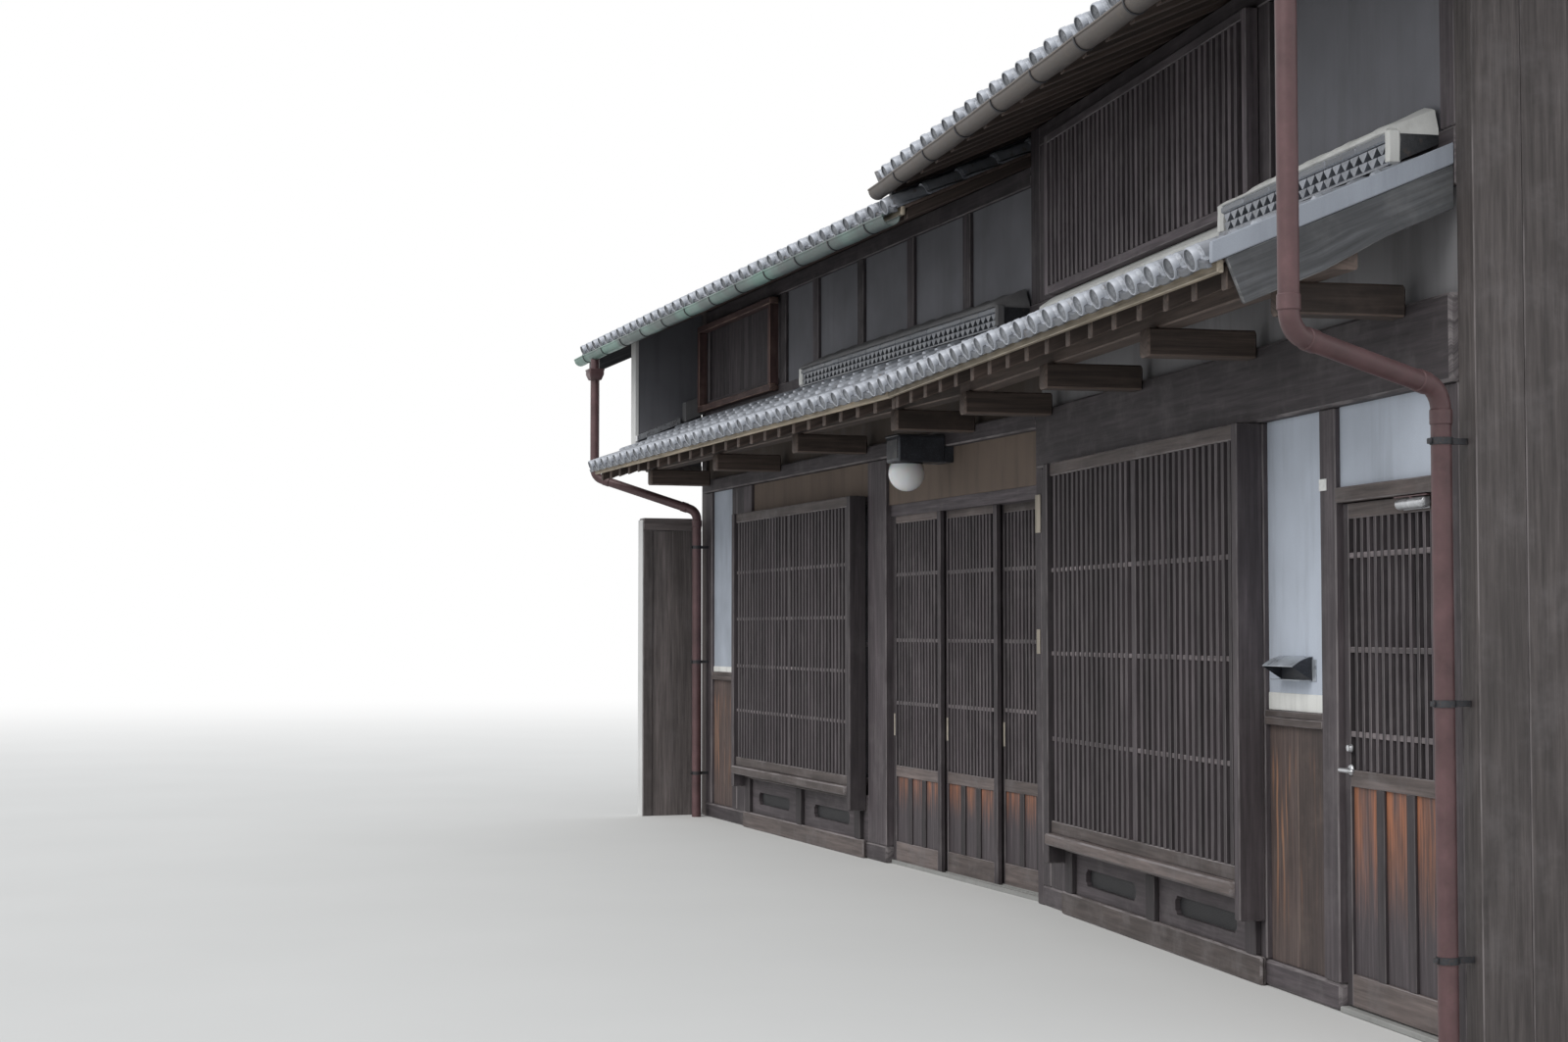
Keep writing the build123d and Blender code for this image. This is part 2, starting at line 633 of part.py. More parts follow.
with BuildPart() as lattice_base_left:
    lattice_base(left_plan, LEFT_LATTICE, LEFT_WINDOW, LEFT_SILL_TOP - SILL_HEIGHT, VENT_LEVELS[0])
export(lattice_base_left, "lattice_base_left")

with BuildPart() as lattice_base_right:
    lattice_base(right_plan, RIGHT_LATTICE, RIGHT_WINDOW, RIGHT_SILL_TOP - SILL_HEIGHT, VENT_LEVELS[1])
export(lattice_base_right, "lattice_base_right")

# Glazed sashes behind the lattices, with boarding below them
SASH_FACE = (WINDOW_SASH_INSET, WINDOW_SASH_INSET + WINDOW_SASH_THICK)


def window_wall(plan, span, sill, head):
    """A row of framed glass sashes over a board panel, inside a lattice window."""
    block(plan, span, SASH_FACE, (GROUND_BEAM_TOP, head))
    edges = evenly(span, length(span) / WINDOW_SASHES)
    pane = about(centre(SASH_FACE), WINDOW_PANE)
    for left, right in zip(edges, edges[1:]):
        for recess in ((SASH_FACE[0], pane[0]), (pane[1], SASH_FACE[1])):
            block(plan, (left + SASH, right - SASH), recess, (sill + SASH, head - SASH), mode=Mode.SUBTRACT)


with BuildPart() as window_sashes:
    window_wall(left_plan, LEFT_WINDOW, LEFT_SILL_TOP, HEAD_BEAM_BOTTOM)
    window_wall(right_plan, RIGHT_WINDOW, RIGHT_SILL_TOP, HEAD_BEAM_BOTTOM)
export(window_sashes, "window_sashes")

# Entry: threshold and head rail with three grooves, and the jambs behind the posts
ENTRY_SPAN_Y = (TRACK_INSET - TRACK_MARGIN, ENTRY_DEPTH)


def track(index):
    """The range of y that a leaf on one of the three tracks takes."""
    start = TRACK_INSET + index * TRACK_PITCH
    return (start, start + LEAF_THICK)


def grooves(levels):
    """Cut the three grooves that the leaves run in."""
    for index in range(TRACKS):
        front, back = track(index)
        block(left_plan, ENTRY, (front - CLEAR, back + CLEAR), levels, mode=Mode.SUBTRACT)


with BuildPart() as entry_threshold:
    block(left_plan, ENTRY, ENTRY_SPAN_Y, (0, THRESHOLD_TOP))
    grooves((THRESHOLD_TOP - GROOVE, THRESHOLD_TOP))
export(entry_threshold, "entry_threshold")

with BuildPart() as entry_head_rail:
    block(left_plan, ENTRY, ENTRY_SPAN_Y, (HEAD_RAIL_BOTTOM, HEAD_RAIL_BOTTOM + HEAD_RAIL_HEIGHT))
    grooves((HEAD_RAIL_BOTTOM, HEAD_RAIL_BOTTOM + HEAD_GROOVE))
export(entry_head_rail, "entry_head_rail")

with BuildPart() as entry_jambs:
    jamb_top = HEAD_RAIL_BOTTOM + HEAD_RAIL_HEIGHT
    block(left_plan, (ENTRY[1], 0), (POST, ENTRY_DEPTH), (0, jamb_top))
    block(left_plan, (ENTRY[0] - KINK_POST, ENTRY[0]), (POST, ENTRY_DEPTH), (0, jamb_top))
export(entry_jambs, "entry_jambs")

LEAF_ROOM = (ENTRY[0] + CLEAR, ENTRY[1] - CLEAR)
LEAF_WIDTH = (length(LEAF_ROOM) + (TRACKS - 1) * LEAF_LAP) / TRACKS
LEAF_STEP = LEAF_WIDTH - LEAF_LAP
LEAF_LEVELS = (THRESHOLD_TOP - GROOVE + CONTACT, HEAD_RAIL_BOTTOM + HEAD_GROOVE - CLEAR)


def framed_leaf(plan, span, front, thick, levels, mid_rail, bottom_rail, bars, bar_width, rails):
    """A door leaf: stiles and rails, bars before flat rails and glass, a battened panel below."""
    face = (front, front + thick)
    inner = (span[0] + LEAF_STILE, span[1] - LEAF_STILE)
    for stile in ((span[0], inner[0]), (inner[1], span[1])):
        block(plan, stile, face, levels)
    low = (levels[0], levels[0] + bottom_rail)
    high = (levels[1] - LEAF_TOP_RAIL, levels[1])
    for rail in (low, mid_rail, high):
        block(plan, inner, face, rail)
    bar_face = (front, front + thick * BAR_SHARE)
    uprights(plan, between(inner, bars), bar_width, bar_face, (mid_rail[1], high[0]))
    for rail in rails:
        block(plan, inner, (bar_face[1], bar_face[1] + thick * RAIL_SHARE), about(rail, RAIL_HEIGHT))
    block(plan, inner, (face[1] - LEAF_PANE, face[1]), (mid_rail[1], high[0]))
    panel = about(centre(face), LEAF_PANEL)
    block(plan, inner, panel, (low[1], mid_rail[0]))
    uprights(plan, between(inner, LEAF_BATTENS), BATTEN_WIDTH, (front, panel[0]), (low[1], mid_rail[0]))


for index, name in enumerate(("entry_door_left", "entry_door_middle", "entry_door_right")):
    with BuildPart() as entry_door:
        start = LEAF_ROOM[0] + index * LEAF_STEP
        leaf = (start, start + LEAF_WIDTH)
        mid_rail = (LEAF_BOARD_TOP, LEAF_BOARD_TOP + LEAF_MID_RAIL)
        framed_leaf(
            left_plan, leaf, track(index)[0], LEAF_THICK, LEAF_LEVELS,
            mid_rail, LEAF_BOTTOM_RAIL, LEAF_BARS, LEAF_BAR_WIDTH, LEAF_RAILS,
        )
        pull = about(leaf[0] + LEAF_STILE / 2, PULL[0])
        recess = (track(index)[0], track(index)[0] + PULL_DEPTH)
        block(left_plan, pull, recess, (PULL_BOTTOM, PULL_BOTTOM + PULL[1]), mode=Mode.SUBTRACT)
    export(entry_door, name)

# Side door, its frame, and the two halves of its hinges
DOOR_LEAF = (SIDE_DOOR[0] + CLEAR, SIDE_DOOR[1] - CLEAR)
HINGE_AXIS = (SIDE_DOOR[1] - HINGE_OFFSET, DOOR_INSET - HINGE_RADIUS - CONTACT)


def knuckle(level, height):
    """One round knuckle on the hinge axis."""
    with BuildSketch(right_plan.offset(level)) as ring:
        with Locations(HINGE_AXIS):
            RegularPolygon(HINGE_RADIUS, SMALL_ROUND)
    extrude(ring.sketch, amount=height)


with BuildPart() as side_door:
    framed_leaf(
        right_plan, DOOR_LEAF, DOOR_INSET, DOOR_THICK, (DOOR_BOTTOM, DOOR_BOTTOM + DOOR_HEIGHT),
        DOOR_MID_RAIL, LEAF_BOTTOM_RAIL, DOOR_BARS, LEAF_BAR_WIDTH, DOOR_RAILS,
    )
    for level in HINGE_LEVELS:
        upper = level + HINGE_HEIGHT / 2 + CONTACT
        knuckle(upper, HINGE_HEIGHT / 2)
        plate = (DOOR_INSET - HINGE_PLATE, DOOR_INSET)
        reach = (DOOR_LEAF[1] - LEAF_STILE, HINGE_AXIS[0])
        block(right_plan, reach, plate, (upper, upper + HINGE_HEIGHT / 2))
export(side_door, "side_door")

with BuildPart() as side_door_frame:
    block(right_plan, SIDE_DOOR, FRAME, (0, DOOR_SILL_TOP))
    block(right_plan, SIDE_DOOR, FRAME, TRANSOM)
    for level in HINGE_LEVELS:
        knuckle(level, HINGE_HEIGHT / 2)
        plate = about(HINGE_AXIS[1], HINGE_PLATE)
        block(right_plan, (HINGE_AXIS[0], SIDE_DOOR[1]), plate, (level, level + HINGE_HEIGHT / 2))
export(side_door_frame, "side_door_frame")

with BuildPart() as door_lever:
    stem_x = DOOR_LEAF[0] + LEVER_SETBACK
    with BuildSketch(facing(right_plan, DOOR_INSET)) as stem:
        with Locations((stem_x, LEVER_HEIGHT)):
            RegularPolygon(LEVER_RADIUS, FINE_ROUND)
    extrude(stem.sketch, amount=LEVER_STAND_OFF)
    grip = (stem_x - LEVER_RADIUS, stem_x - LEVER_RADIUS + LEVER_LENGTH)
    back = DOOR_INSET - LEVER_STAND_OFF
    block(right_plan, grip, (back - LEVER_RADIUS, back), about(LEVER_HEIGHT, 2 * LEVER_RADIUS))
export(door_lever, "door_lever")

with BuildPart() as door_closer:
    body_right = DOOR_LEAF[1] - CLOSER_SETBACK
    body = (body_right - CLOSER[0], body_right)
    body_top = DOOR_BOTTOM + DOOR_HEIGHT - CLEAR
    block(right_plan, body, (DOOR_INSET - CLOSER[1], DOOR_INSET), (body_top - CLOSER[2], body_top))
    arm = about(centre(body), CLOSER_ARM[0])
    arm_back = DOOR_INSET - CLOSER_ARM_STAND_OFF
    block(right_plan, arm, (arm_back - CLOSER_ARM[1], arm_back), (body_top, body_top + CLOSER_ARM[2]))
export(door_closer, "door_closer")

# Small fittings of the front
with BuildPart() as mail_hood:
    hood = about(centre(RIGHT_PANEL), HOOD_WIDTH)
    lip = INFILL_INSET - HOOD_REACH
    roof_line = ((INFILL_INSET, HOOD_LEVELS[1]), (lip, HOOD_LIP))
    slab = roof_line + ((lip, HOOD_LIP - HOOD_WALL), (INFILL_INSET, HOOD_LEVELS[1] - HOOD_WALL))
    profile(right_plan, hood, slab)
    for cheek in ((hood[0], hood[0] + HOOD_WALL), (hood[1] - HOOD_WALL, hood[1])):
        profile(right_plan, cheek, roof_line + ((INFILL_INSET, HOOD_LEVELS[0]),))
export(mail_hood, "mail_hood")

with BuildPart() as name_plates:
    for width, levels in zip(PLATE_WIDTHS, PLATE_LEVELS):
        block(left_plan, about(-KINK_POST / 2, width), (-PLATE_THICK, 0), levels)
export(name_plates, "name_plates")

with BuildPart() as lamp_box:
    levels = (LAMP_BOX_BOTTOM, LAMP_BOX_BOTTOM + LAMP_BOX[2])
    span = about(LAMP_X, LAMP_BOX[0])
    block(left_plan, span, (INFILL_INSET - LAMP_BOX[1], INFILL_INSET), levels)
    block(left_plan, span, HEAD_BEAM_FACE, (LEFT_BEAM_BOTTOM, levels[1]), mode=Mode.SUBTRACT)
export(lamp_box, "lamp_box")

with BuildPart() as lamp_globe:
    with BuildSketch(across(left_plan, LAMP_X)) as half:
        with Locations((INFILL_INSET - LAMP_REACH, LAMP_CENTRE)):
            RegularPolygon(LAMP_RADIUS, ROUND)
        with Locations((INFILL_INSET - LAMP_REACH, LAMP_BOX_BOTTOM + LAMP_RADIUS)):
            Rectangle(2 * LAMP_RADIUS, 2 * LAMP_RADIUS, mode=Mode.SUBTRACT)
        with Locations((INFILL_INSET - LAMP_REACH - LAMP_RADIUS, LAMP_CENTRE)):
            Rectangle(2 * LAMP_RADIUS, 3 * LAMP_RADIUS, mode=Mode.SUBTRACT)
    lamp_axis = Axis((LAMP_X, INFILL_INSET - LAMP_REACH, LAMP_CENTRE), (0, 0, 1))
    revolve(half.sketch, axis=lamp_axis)
export(lamp_globe, "lamp_globe")

# Sleeve wall at the left end: one part below the pent roof's end, one above it
SLEEVE = (-LEFT_WIDTH - SLEEVE_THICK, -LEFT_WIDTH)
with BuildPart() as sleeve_walls:
    block(left_plan, SLEEVE, (-SLEEVE_REACH, 0), (0, SLEEVE_TOP))
    upper_top = roof_top(LEFT_EAVE_TOP, -SLEEVE_UPPER_REACH) - ROOF_STRUCTURE
    outline = (
        (-SLEEVE_UPPER_REACH, SLEEVE_UPPER_BOTTOM),
        (0, SLEEVE_UPPER_BOTTOM),
        (0, LEFT_UNDERSIDE),
        (-SLEEVE_UPPER_REACH, upper_top),
    )
    profile(left_plan, SLEEVE, outline)
export(sleeve_walls, "sleeve_walls")

# Pent roof: arms and purlin, rafters and deck, tiles with their eave discs
PENT_Y = (-PENT_OVERHANG, 0.0)


def rafters(plan, span, y, level, slope, turn=tuple):
    """A deck on its rafters, and the eave board that closes their ends under the tiles."""
    run = (y[0] + RAFTER_INSET, y[1])
    lift = slope * RAFTER_INSET
    top = level + slope * length(y)
    underside = turn(slope_strip(run, level - ROOF_STRUCTURE + lift, slope, RAFTER_DEPTH))
    depth = sorted(point[0] for point in underside)
    places = evenly((span[0] + RAFTER_WIDTH, span[1] - RAFTER_WIDTH), RAFTER_PITCH)
    uprights(plan, places, RAFTER_WIDTH, (depth[0], depth[-1]), (level - 2 * ROOF_STRUCTURE, top))
    profile(plan, span, underside, mode=Mode.INTERSECT)
    profile(plan, span, turn(slope_strip(y, level - DECK, slope, DECK)))
    eave_board = (
        (y[0] - FASCIA, level - FASCIA_DEPTH),
        (y[0], level - FASCIA_DEPTH),
        (y[0], level),
        (y[0] - FASCIA, level - slope * FASCIA),
    )
    profile(plan, span, turn(eave_board))


LEFT_PENT = (-LEFT_WIDTH, 0.0)
RIGHT_PENT = (-SWEEP, RIGHT_WIDTH - PENT_SETBACK)

with BuildPart() as pent_frame_left:
    rafters(left_plan, LEFT_PENT, PENT_Y, PENT_EAVE_TOP, PENT_SLOPE)
export(pent_frame_left, "pent_frame_left")

with BuildPart() as pent_frame_right:
    rafters(right_plan, RIGHT_PENT, PENT_Y, PENT_EAVE_TOP, PENT_SLOPE)
    trim_right()
export(pent_frame_right, "pent_frame_right")


def purlin(plan, span):
    """The eave purlin on the arms, its top cut to the rafters' slope."""
    front = -ARM_REACH + PURLIN_SETBACK
    back = front + PURLIN_WIDTH
    top = pent_top(front) - ROOF_STRUCTURE
    outline = (
        (front, ARM_BOTTOM + ARM_DEPTH),
        (back, ARM_BOTTOM + ARM_DEPTH),
        (back, top + PENT_SLOPE * PURLIN_WIDTH),
        (front, top),
    )
    profile(plan, span, outline)


def arm(plan, middle):
    """One horizontal arm that carries the purlin, out of the head beam."""
    reach = (-ARM_REACH, HEAD_BEAM_FACE[0])
    block(plan, about(middle, ARM_WIDTH), reach, (ARM_BOTTOM, ARM_BOTTOM + ARM_DEPTH))


with BuildPart() as pent_brackets_left:
    purlin(left_plan, LEFT_PENT)
    for middle in LEFT_ARMS:
        arm(left_plan, middle)
export(pent_brackets_left, "pent_brackets_left")

with BuildPart() as pent_brackets_right:
    purlin(right_plan, RIGHT_PENT)
    for middle in RIGHT_ARMS:
        arm(right_plan, middle)
    trim_right()
export(pent_brackets_right, "pent_brackets_right")


def tile_outline(width):
    """The cross-section of a row of tiles: flat pans and rolls, as (across, up) points."""
    count = round(width / TILE_PITCH)
    pitch = width / count
    roll = pitch * TILE_ROLL_SHARE
    points = [(0.0, 0.0), (0.0, TILE_PAN)]
    for tile in range(count):
        start = tile * pitch + (pitch - roll) / 2
        points += [(start + roll * along, TILE_PAN + TILE_ROLL * up) for along, up in TILE_CROWN]
    return points + [(width, TILE_PAN), (width, 0.0)]


def tiles(plan, span, top, run, slope, discs, backward=False):
    """Tiles down one slope from its top edge, with a disc under each roll's end."""
    side = -1 if backward else 1
    down = (plan.y_dir * -side - Vector(0, 0, slope)).normalized()
    across_dir = plan.x_dir * side
    start = span[1] if backward else span[0]
    origin = plan.from_local_coords((start, top[0], top[1]))
    reach = run * (1 + slope**2) ** 0.5
    head = Plane(origin=origin, x_dir=across_dir, z_dir=down)
    with BuildSketch(head) as outline:
        with BuildLine():
            Polyline(*tile_outline(length(span)), close=True)
        make_face()
    extrude(outline.sketch, amount=reach)
    if discs:
        count = round(length(span) / TILE_PITCH)
        pitch = length(span) / count
        places = [((tile + 0.5) * pitch, TILE_PAN + TILE_ROLL - DISC_RADIUS) for tile in range(count)]
        with BuildSketch(head.offset(reach)) as ends:
            with Locations(places):
                RegularPolygon(DISC_RADIUS, FINE_ROUND)
        extrude(ends.sketch, amount=DISC_THICK)


PENT_RUN = PENT_OVERHANG + FASCIA + TILE_NOSE
with BuildPart() as pent_tiles_left:
    tiles(left_plan, LEFT_PENT, (0, pent_top(0)), PENT_RUN, PENT_SLOPE, True)
export(pent_tiles_left, "pent_tiles_left")

SKIRT_SPAN = (RIGHT_PENT[1], RIGHT_PENT[1] + SKIRT[0])
with BuildPart() as pent_tiles_right:
    tiles(right_plan, RIGHT_PENT, (0, pent_top(0)), PENT_RUN, PENT_SLOPE, True)
    trim_right()
    skirt_foot = pent_top(-PENT_RUN) - SKIRT_DROP
    profile(right_plan, SKIRT_SPAN, slope_strip((-PENT_RUN, 0), skirt_foot, PENT_SLOPE, SKIRT[1]))
export(pent_tiles_right, "pent_tiles_right")

# Upper storey: frame, plaster, the shuttered window and the upper lattice
LEFT_PLATE = (LEFT_UNDERSIDE - UPPER_POST_WIDTH, LEFT_UNDERSIDE)
RIGHT_PLATE = (RIGHT_UNDERSIDE - UPPER_POST_WIDTH, RIGHT_UNDERSIDE)

SHUTTER_JAMB = SHUTTER_SPAN[1] + SHUTTER_POST
LEFT_UPPER_POSTS = [SHUTTER_JAMB] + evenly((SHUTTER_JAMB + FIRST_BAY, -LAST_UPPER_POST), UPPER_BAY)
with BuildPart() as upper_frame_left:
    top = roof_top(RIGHT_EAVE_TOP, HALF_DEPTH)
    block(left_plan, (-WALL, 0), (0, ENTRY_DEPTH), (UPPER_SILL, top))
    keep_below(right_slopes)
    block(left_plan, (-WALL, 0), (POST, ENTRY_DEPTH), (HEAD_BEAM_TOP, UPPER_SILL))
    block(left_plan, (LEFT_INSIDE, 0), FRAME, (PENT_UNDERSIDE, UPPER_SILL))
    block(left_plan, (LEFT_INSIDE, 0), FRAME, LEFT_PLATE)
    for middle in LEFT_UPPER_POSTS:
        block(left_plan, about(middle, UPPER_POST_WIDTH), FRAME, (UPPER_SILL, LEFT_PLATE[0]))
    block(left_plan, (LEFT_INSIDE, SHUTTER_SPAN[0] + UPPER_FRAME), FRAME, (UPPER_SILL, LEFT_PLATE[0]))
export(upper_frame_left, "upper_frame_left")

RIGHT_UPPER_POSTS = (UPPER_LATTICE[1] + UPPER_POST_WIDTH / 2, RIGHT_INSIDE - UPPER_POST_WIDTH / 2)
with BuildPart() as upper_frame_right:
    block(right_plan, (-SWEEP, RIGHT_INSIDE), FRAME, (PENT_UNDERSIDE, UPPER_SILL))
    block(right_plan, (-SWEEP, RIGHT_INSIDE), FRAME, RIGHT_PLATE)
    block(right_plan, (-SWEEP, UPPER_LATTICE[0]), FRAME, (UPPER_SILL, RIGHT_PLATE[0]))
    for middle in RIGHT_UPPER_POSTS:
        block(right_plan, about(middle, UPPER_POST_WIDTH), FRAME, (UPPER_SILL, RIGHT_PLATE[0]))
    trim_right()
export(upper_frame_right, "upper_frame_right")

with BuildPart() as upper_plaster:
    posts = LEFT_UPPER_POSTS + [-WALL + UPPER_POST_WIDTH / 2]
    for left, right in zip(posts, posts[1:]):
        panel = (left + UPPER_POST_WIDTH / 2, right - UPPER_POST_WIDTH / 2)
        block(left_plan, panel, INFILL_FACE, (UPPER_SILL, LEFT_PLATE[0]))
    panel = (UPPER_LATTICE[1] + UPPER_POST_WIDTH, RIGHT_INSIDE - UPPER_POST_WIDTH)
    block(right_plan, panel, INFILL_FACE, (UPPER_SILL, RIGHT_PLATE[0]))
export(upper_plaster, "upper_plaster")

with BuildPart() as shutter_window:
    opening = (SHUTTER_SPAN[0] + UPPER_FRAME, LEFT_UPPER_POSTS[0] - UPPER_POST_WIDTH / 2)
    levels = (UPPER_SILL, LEFT_PLATE[0])
    boarding(left_plan, opening, INFILL_INSET, levels, SHUTTER_BOARD)
    block(left_plan, opening, (0, INFILL_INSET), (UPPER_SILL, UPPER_SILL + SHUTTER_RAIL))
    face = (-SHUTTER_REACH, 0)
    sill_top = SHUTTER_LEVELS[0] + SHUTTER_RAIL
    block(left_plan, SHUTTER_SPAN, face, (SHUTTER_LEVELS[0], sill_top))
    block(left_plan, SHUTTER_SPAN, face, (SHUTTER_LEVELS[1], SHUTTER_LEVELS[1] + SHUTTER_RAIL))
    for edge in (SHUTTER_SPAN[0], SHUTTER_SPAN[1] - SHUTTER_RAIL):
        block(left_plan, (edge, edge + SHUTTER_RAIL), face, (sill_top, SHUTTER_LEVELS[1]))
export(shutter_window, "shutter_window")

with BuildPart() as upper_lattice:
    span = UPPER_LATTICE
    levels = (UPPER_SILL, RIGHT_PLATE[0])
    front = -UPPER_LATTICE_REACH
    for edge in ((span[0], span[0] + SASH), (span[1] - SASH, span[1])):
        block(right_plan, edge, (front, 0), levels)
    for rail in ((levels[0], levels[0] + SASH), (levels[1] - SASH, levels[1])):
        block(right_plan, span, (front, 0), rail)
    lattice(right_plan, (span[0] + SASH, span[1] - SASH), front, levels, UPPER_LATTICE_BARS, UPPER_RAILS)
    block(right_plan, span, SASH_FACE, levels)
export(upper_lattice, "upper_lattice")

# Ornament bands of stacked tiles where the pent roof meets the wall
PENT_TILE_TOP = (TILE_PAN + TILE_ROLL) * (1 + PENT_SLOPE**2) ** 0.5
BAND_BOTTOM = pent_top(0) + PENT_TILE_TOP + CONTACT
LEFT_BAND = (LEFT_UPPER_POSTS[1] + LEFT_BAND_INSET, -LEFT_BAND_STOP)
RIGHT_BAND = (RIGHT_LATTICE[1] + RIGHT_BAND_START, RIGHT_INSIDE - RIGHT_BAND_STOP)
CORNER_BAND = (-LEFT_WIDTH, SHUTTER_SPAN[0])


def over_tiles(plan, span, depth, front_height, back_top):
    """A course that sits on the tiles' crowns against the wall."""
    foot = BAND_BOTTOM - PENT_SLOPE * depth
    outline = ((-depth, foot), (0, BAND_BOTTOM), (0, back_top), (-depth, foot + front_height))
    profile(plan, span, outline)


with BuildPart() as tile_bands:
    for plan, band in ((left_plan, LEFT_BAND), (left_plan, CORNER_BAND), (right_plan, RIGHT_BAND)):
        over_tiles(plan, band, BAND_DEPTH, BAND_FACE, BAND_BOTTOM + BAND_HEIGHT)
    over_tiles(right_plan, UPPER_LATTICE, *MORTAR, UPPER_SILL - CONTACT)
    strip_y = (-SLEEVE_UPPER_REACH, -BAND_DEPTH)
    strip = slope_strip(strip_y, BAND_BOTTOM + PENT_SLOPE * strip_y[0], PENT_SLOPE, FLASHING[1])
    profile(left_plan, (-LEFT_WIDTH, -LEFT_WIDTH + FLASHING[0]), strip)
export(tile_bands, "tile_bands")

# Main roofs: decks on rafters, front and back, and their tiles
LEFT_ROOF = (-LEFT_WIDTH - LEFT_VERGE, -WALL)
RIGHT_ROOF = (-SWEEP, RIGHT_WIDTH + RIGHT_VERGE)
FRONT_Y = (-ROOF_OVERHANG, HALF_DEPTH)


def back_strip(strip):
    """The same outline on the back slope."""
    return tuple((DEPTH - y, z) for y, z in strip)


def roof_frame(plan, span, eave, backward=False):
    """Deck, rafters and eave board of one slope of a main roof."""
    turn = back_strip if backward else tuple
    rafters(plan, span, FRONT_Y, roof_top(eave, FRONT_Y[0]), ROOF_SLOPE, turn)


def roof_tiles(plan, span, eave, backward):
    """Tiles of one slope of a main roof."""
    run = ROOF_OVERHANG + HALF_DEPTH + FASCIA + TILE_NOSE
    tiles(plan, span, (HALF_DEPTH, roof_top(eave, HALF_DEPTH)), run, ROOF_SLOPE, not backward, backward)


with BuildPart() as roof_frame_left:
    roof_frame(left_plan, LEFT_ROOF, LEFT_EAVE_TOP)
export(roof_frame_left, "roof_frame_left")

with BuildPart() as roof_frame_right:
    roof_frame(right_plan, RIGHT_ROOF, RIGHT_EAVE_TOP)
    trim_right(RIGHT_ROOF_LAP)
export(roof_frame_right, "roof_frame_right")

with BuildPart() as back_frame_right:
    roof_frame(right_plan, RIGHT_ROOF, RIGHT_EAVE_TOP, backward=True)
    trim_right(RIGHT_ROOF_LAP)

with BuildPart() as back_frame_left:
    roof_frame(left_plan, LEFT_ROOF, LEFT_EAVE_TOP, backward=True)

with BuildPart() as roof_frames_back:
    add(back_frame_right.part)
    add(back_frame_left.part)
export(roof_frames_back, "roof_frames_back")

with BuildPart() as roof_tiles_left:
    roof_tiles(left_plan, LEFT_ROOF, LEFT_EAVE_TOP, False)
export(roof_tiles_left, "roof_tiles_left")

with BuildPart() as roof_tiles_right:
    roof_tiles(right_plan, RIGHT_ROOF, RIGHT_EAVE_TOP, False)
    trim_right(RIGHT_ROOF_LAP)
export(roof_tiles_right, "roof_tiles_right")

with BuildPart() as roof_tiles_back:
    roof_tiles(right_plan, RIGHT_ROOF, RIGHT_EAVE_TOP, True)
    trim_right(RIGHT_ROOF_LAP)
    roof_tiles(left_plan, LEFT_ROOF, LEFT_EAVE_TOP, True)
export(roof_tiles_back, "roof_tiles_back")


def ridge(plan, span, eave):
    """A ridge of flat courses under a round cap, its foot cut to sit on both slopes."""
    crown = roof_top(eave, HALF_DEPTH) + (TILE_PAN + TILE_ROLL) * (1 + ROOF_SLOPE**2) ** 0.5 + CONTACT
    half = RIDGE_WIDTH / 2
    top = crown + RIDGE_COURSES * RIDGE_COURSE
    outline = (
        (HALF_DEPTH - half, crown - ROOF_SLOPE * half),
        (HALF_DEPTH, crown),
        (HALF_DEPTH + half, crown - ROOF_SLOPE * half),
        (HALF_DEPTH + half, top),
        (HALF_DEPTH - half, top),
    )
    profile(plan, span, outline)
    with BuildSketch(across(plan, span[0])) as cap:
        with Locations((HALF_DEPTH, top)):
            RegularPolygon(RIDGE_CAP, SMALL_ROUND)
    extrude(cap.sketch, amount=length(span))


with BuildPart() as ridges:
    ridge(right_plan, RIGHT_ROOF, RIGHT_EAVE_TOP)
    trim_right(RIGHT_ROOF_LAP)
    ridge(left_plan, (LEFT_ROOF[0], -RIGHT_ROOF_LAP - VERGE_BOARD - LEFT_RIDGE_STOP), LEFT_EAVE_TOP)
export(ridges, "ridges")


def verge_board(plan, span, eave, depth):
    """Boards along both slopes of a gable end."""
    strip = slope_strip(FRONT_Y, roof_top(eave, FRONT_Y[0]) - depth, ROOF_SLOPE, depth)
    profile(plan, span, strip)
    profile(plan, span, back_strip(strip))


def pent_verge():
    """The board under the pent roof's right verge, its front end cut square to the slope."""
    depth = PENT_VERGE[1]
    setback = depth * PENT_SLOPE
    top = pent_top(PENT_Y[0]) - SKIRT_DROP
    outline = (
        (PENT_Y[0], top),
        (PENT_Y[0] + setback, top - depth),
        (0, pent_top(0) - SKIRT_DROP - depth * (1 + PENT_SLOPE**2)),
        (0, pent_top(0) - SKIRT_DROP),
    )
    profile(right_plan, (RIGHT_PENT[1], RIGHT_PENT[1] + PENT_VERGE[0]), outline)


with BuildPart() as verge_boards:
    verge_board(right_plan, (-SWEEP, 0), RIGHT_EAVE_TOP, VERGE_LAP_DEPTH)
    split(bisect_by=across(left_plan, -RIGHT_ROOF_LAP), keep=Keep.BOTTOM)
    trim_right(RIGHT_ROOF_LAP + VERGE_BOARD)
    verge_board(left_plan, (LEFT_ROOF[0] - VERGE_BOARD, LEFT_ROOF[0]), LEFT_EAVE_TOP, VERGE_BOARD_DEPTH)
    verge_board(right_plan, (RIGHT_ROOF[1], RIGHT_ROOF[1] + VERGE_BOARD), RIGHT_EAVE_TOP, VERGE_BOARD_DEPTH)
    pent_verge()
export(verge_boards, "verge_boards")

# Gutters with their hooks, and the downspouts
EAVE_FACE = -ROOF_OVERHANG - FASCIA


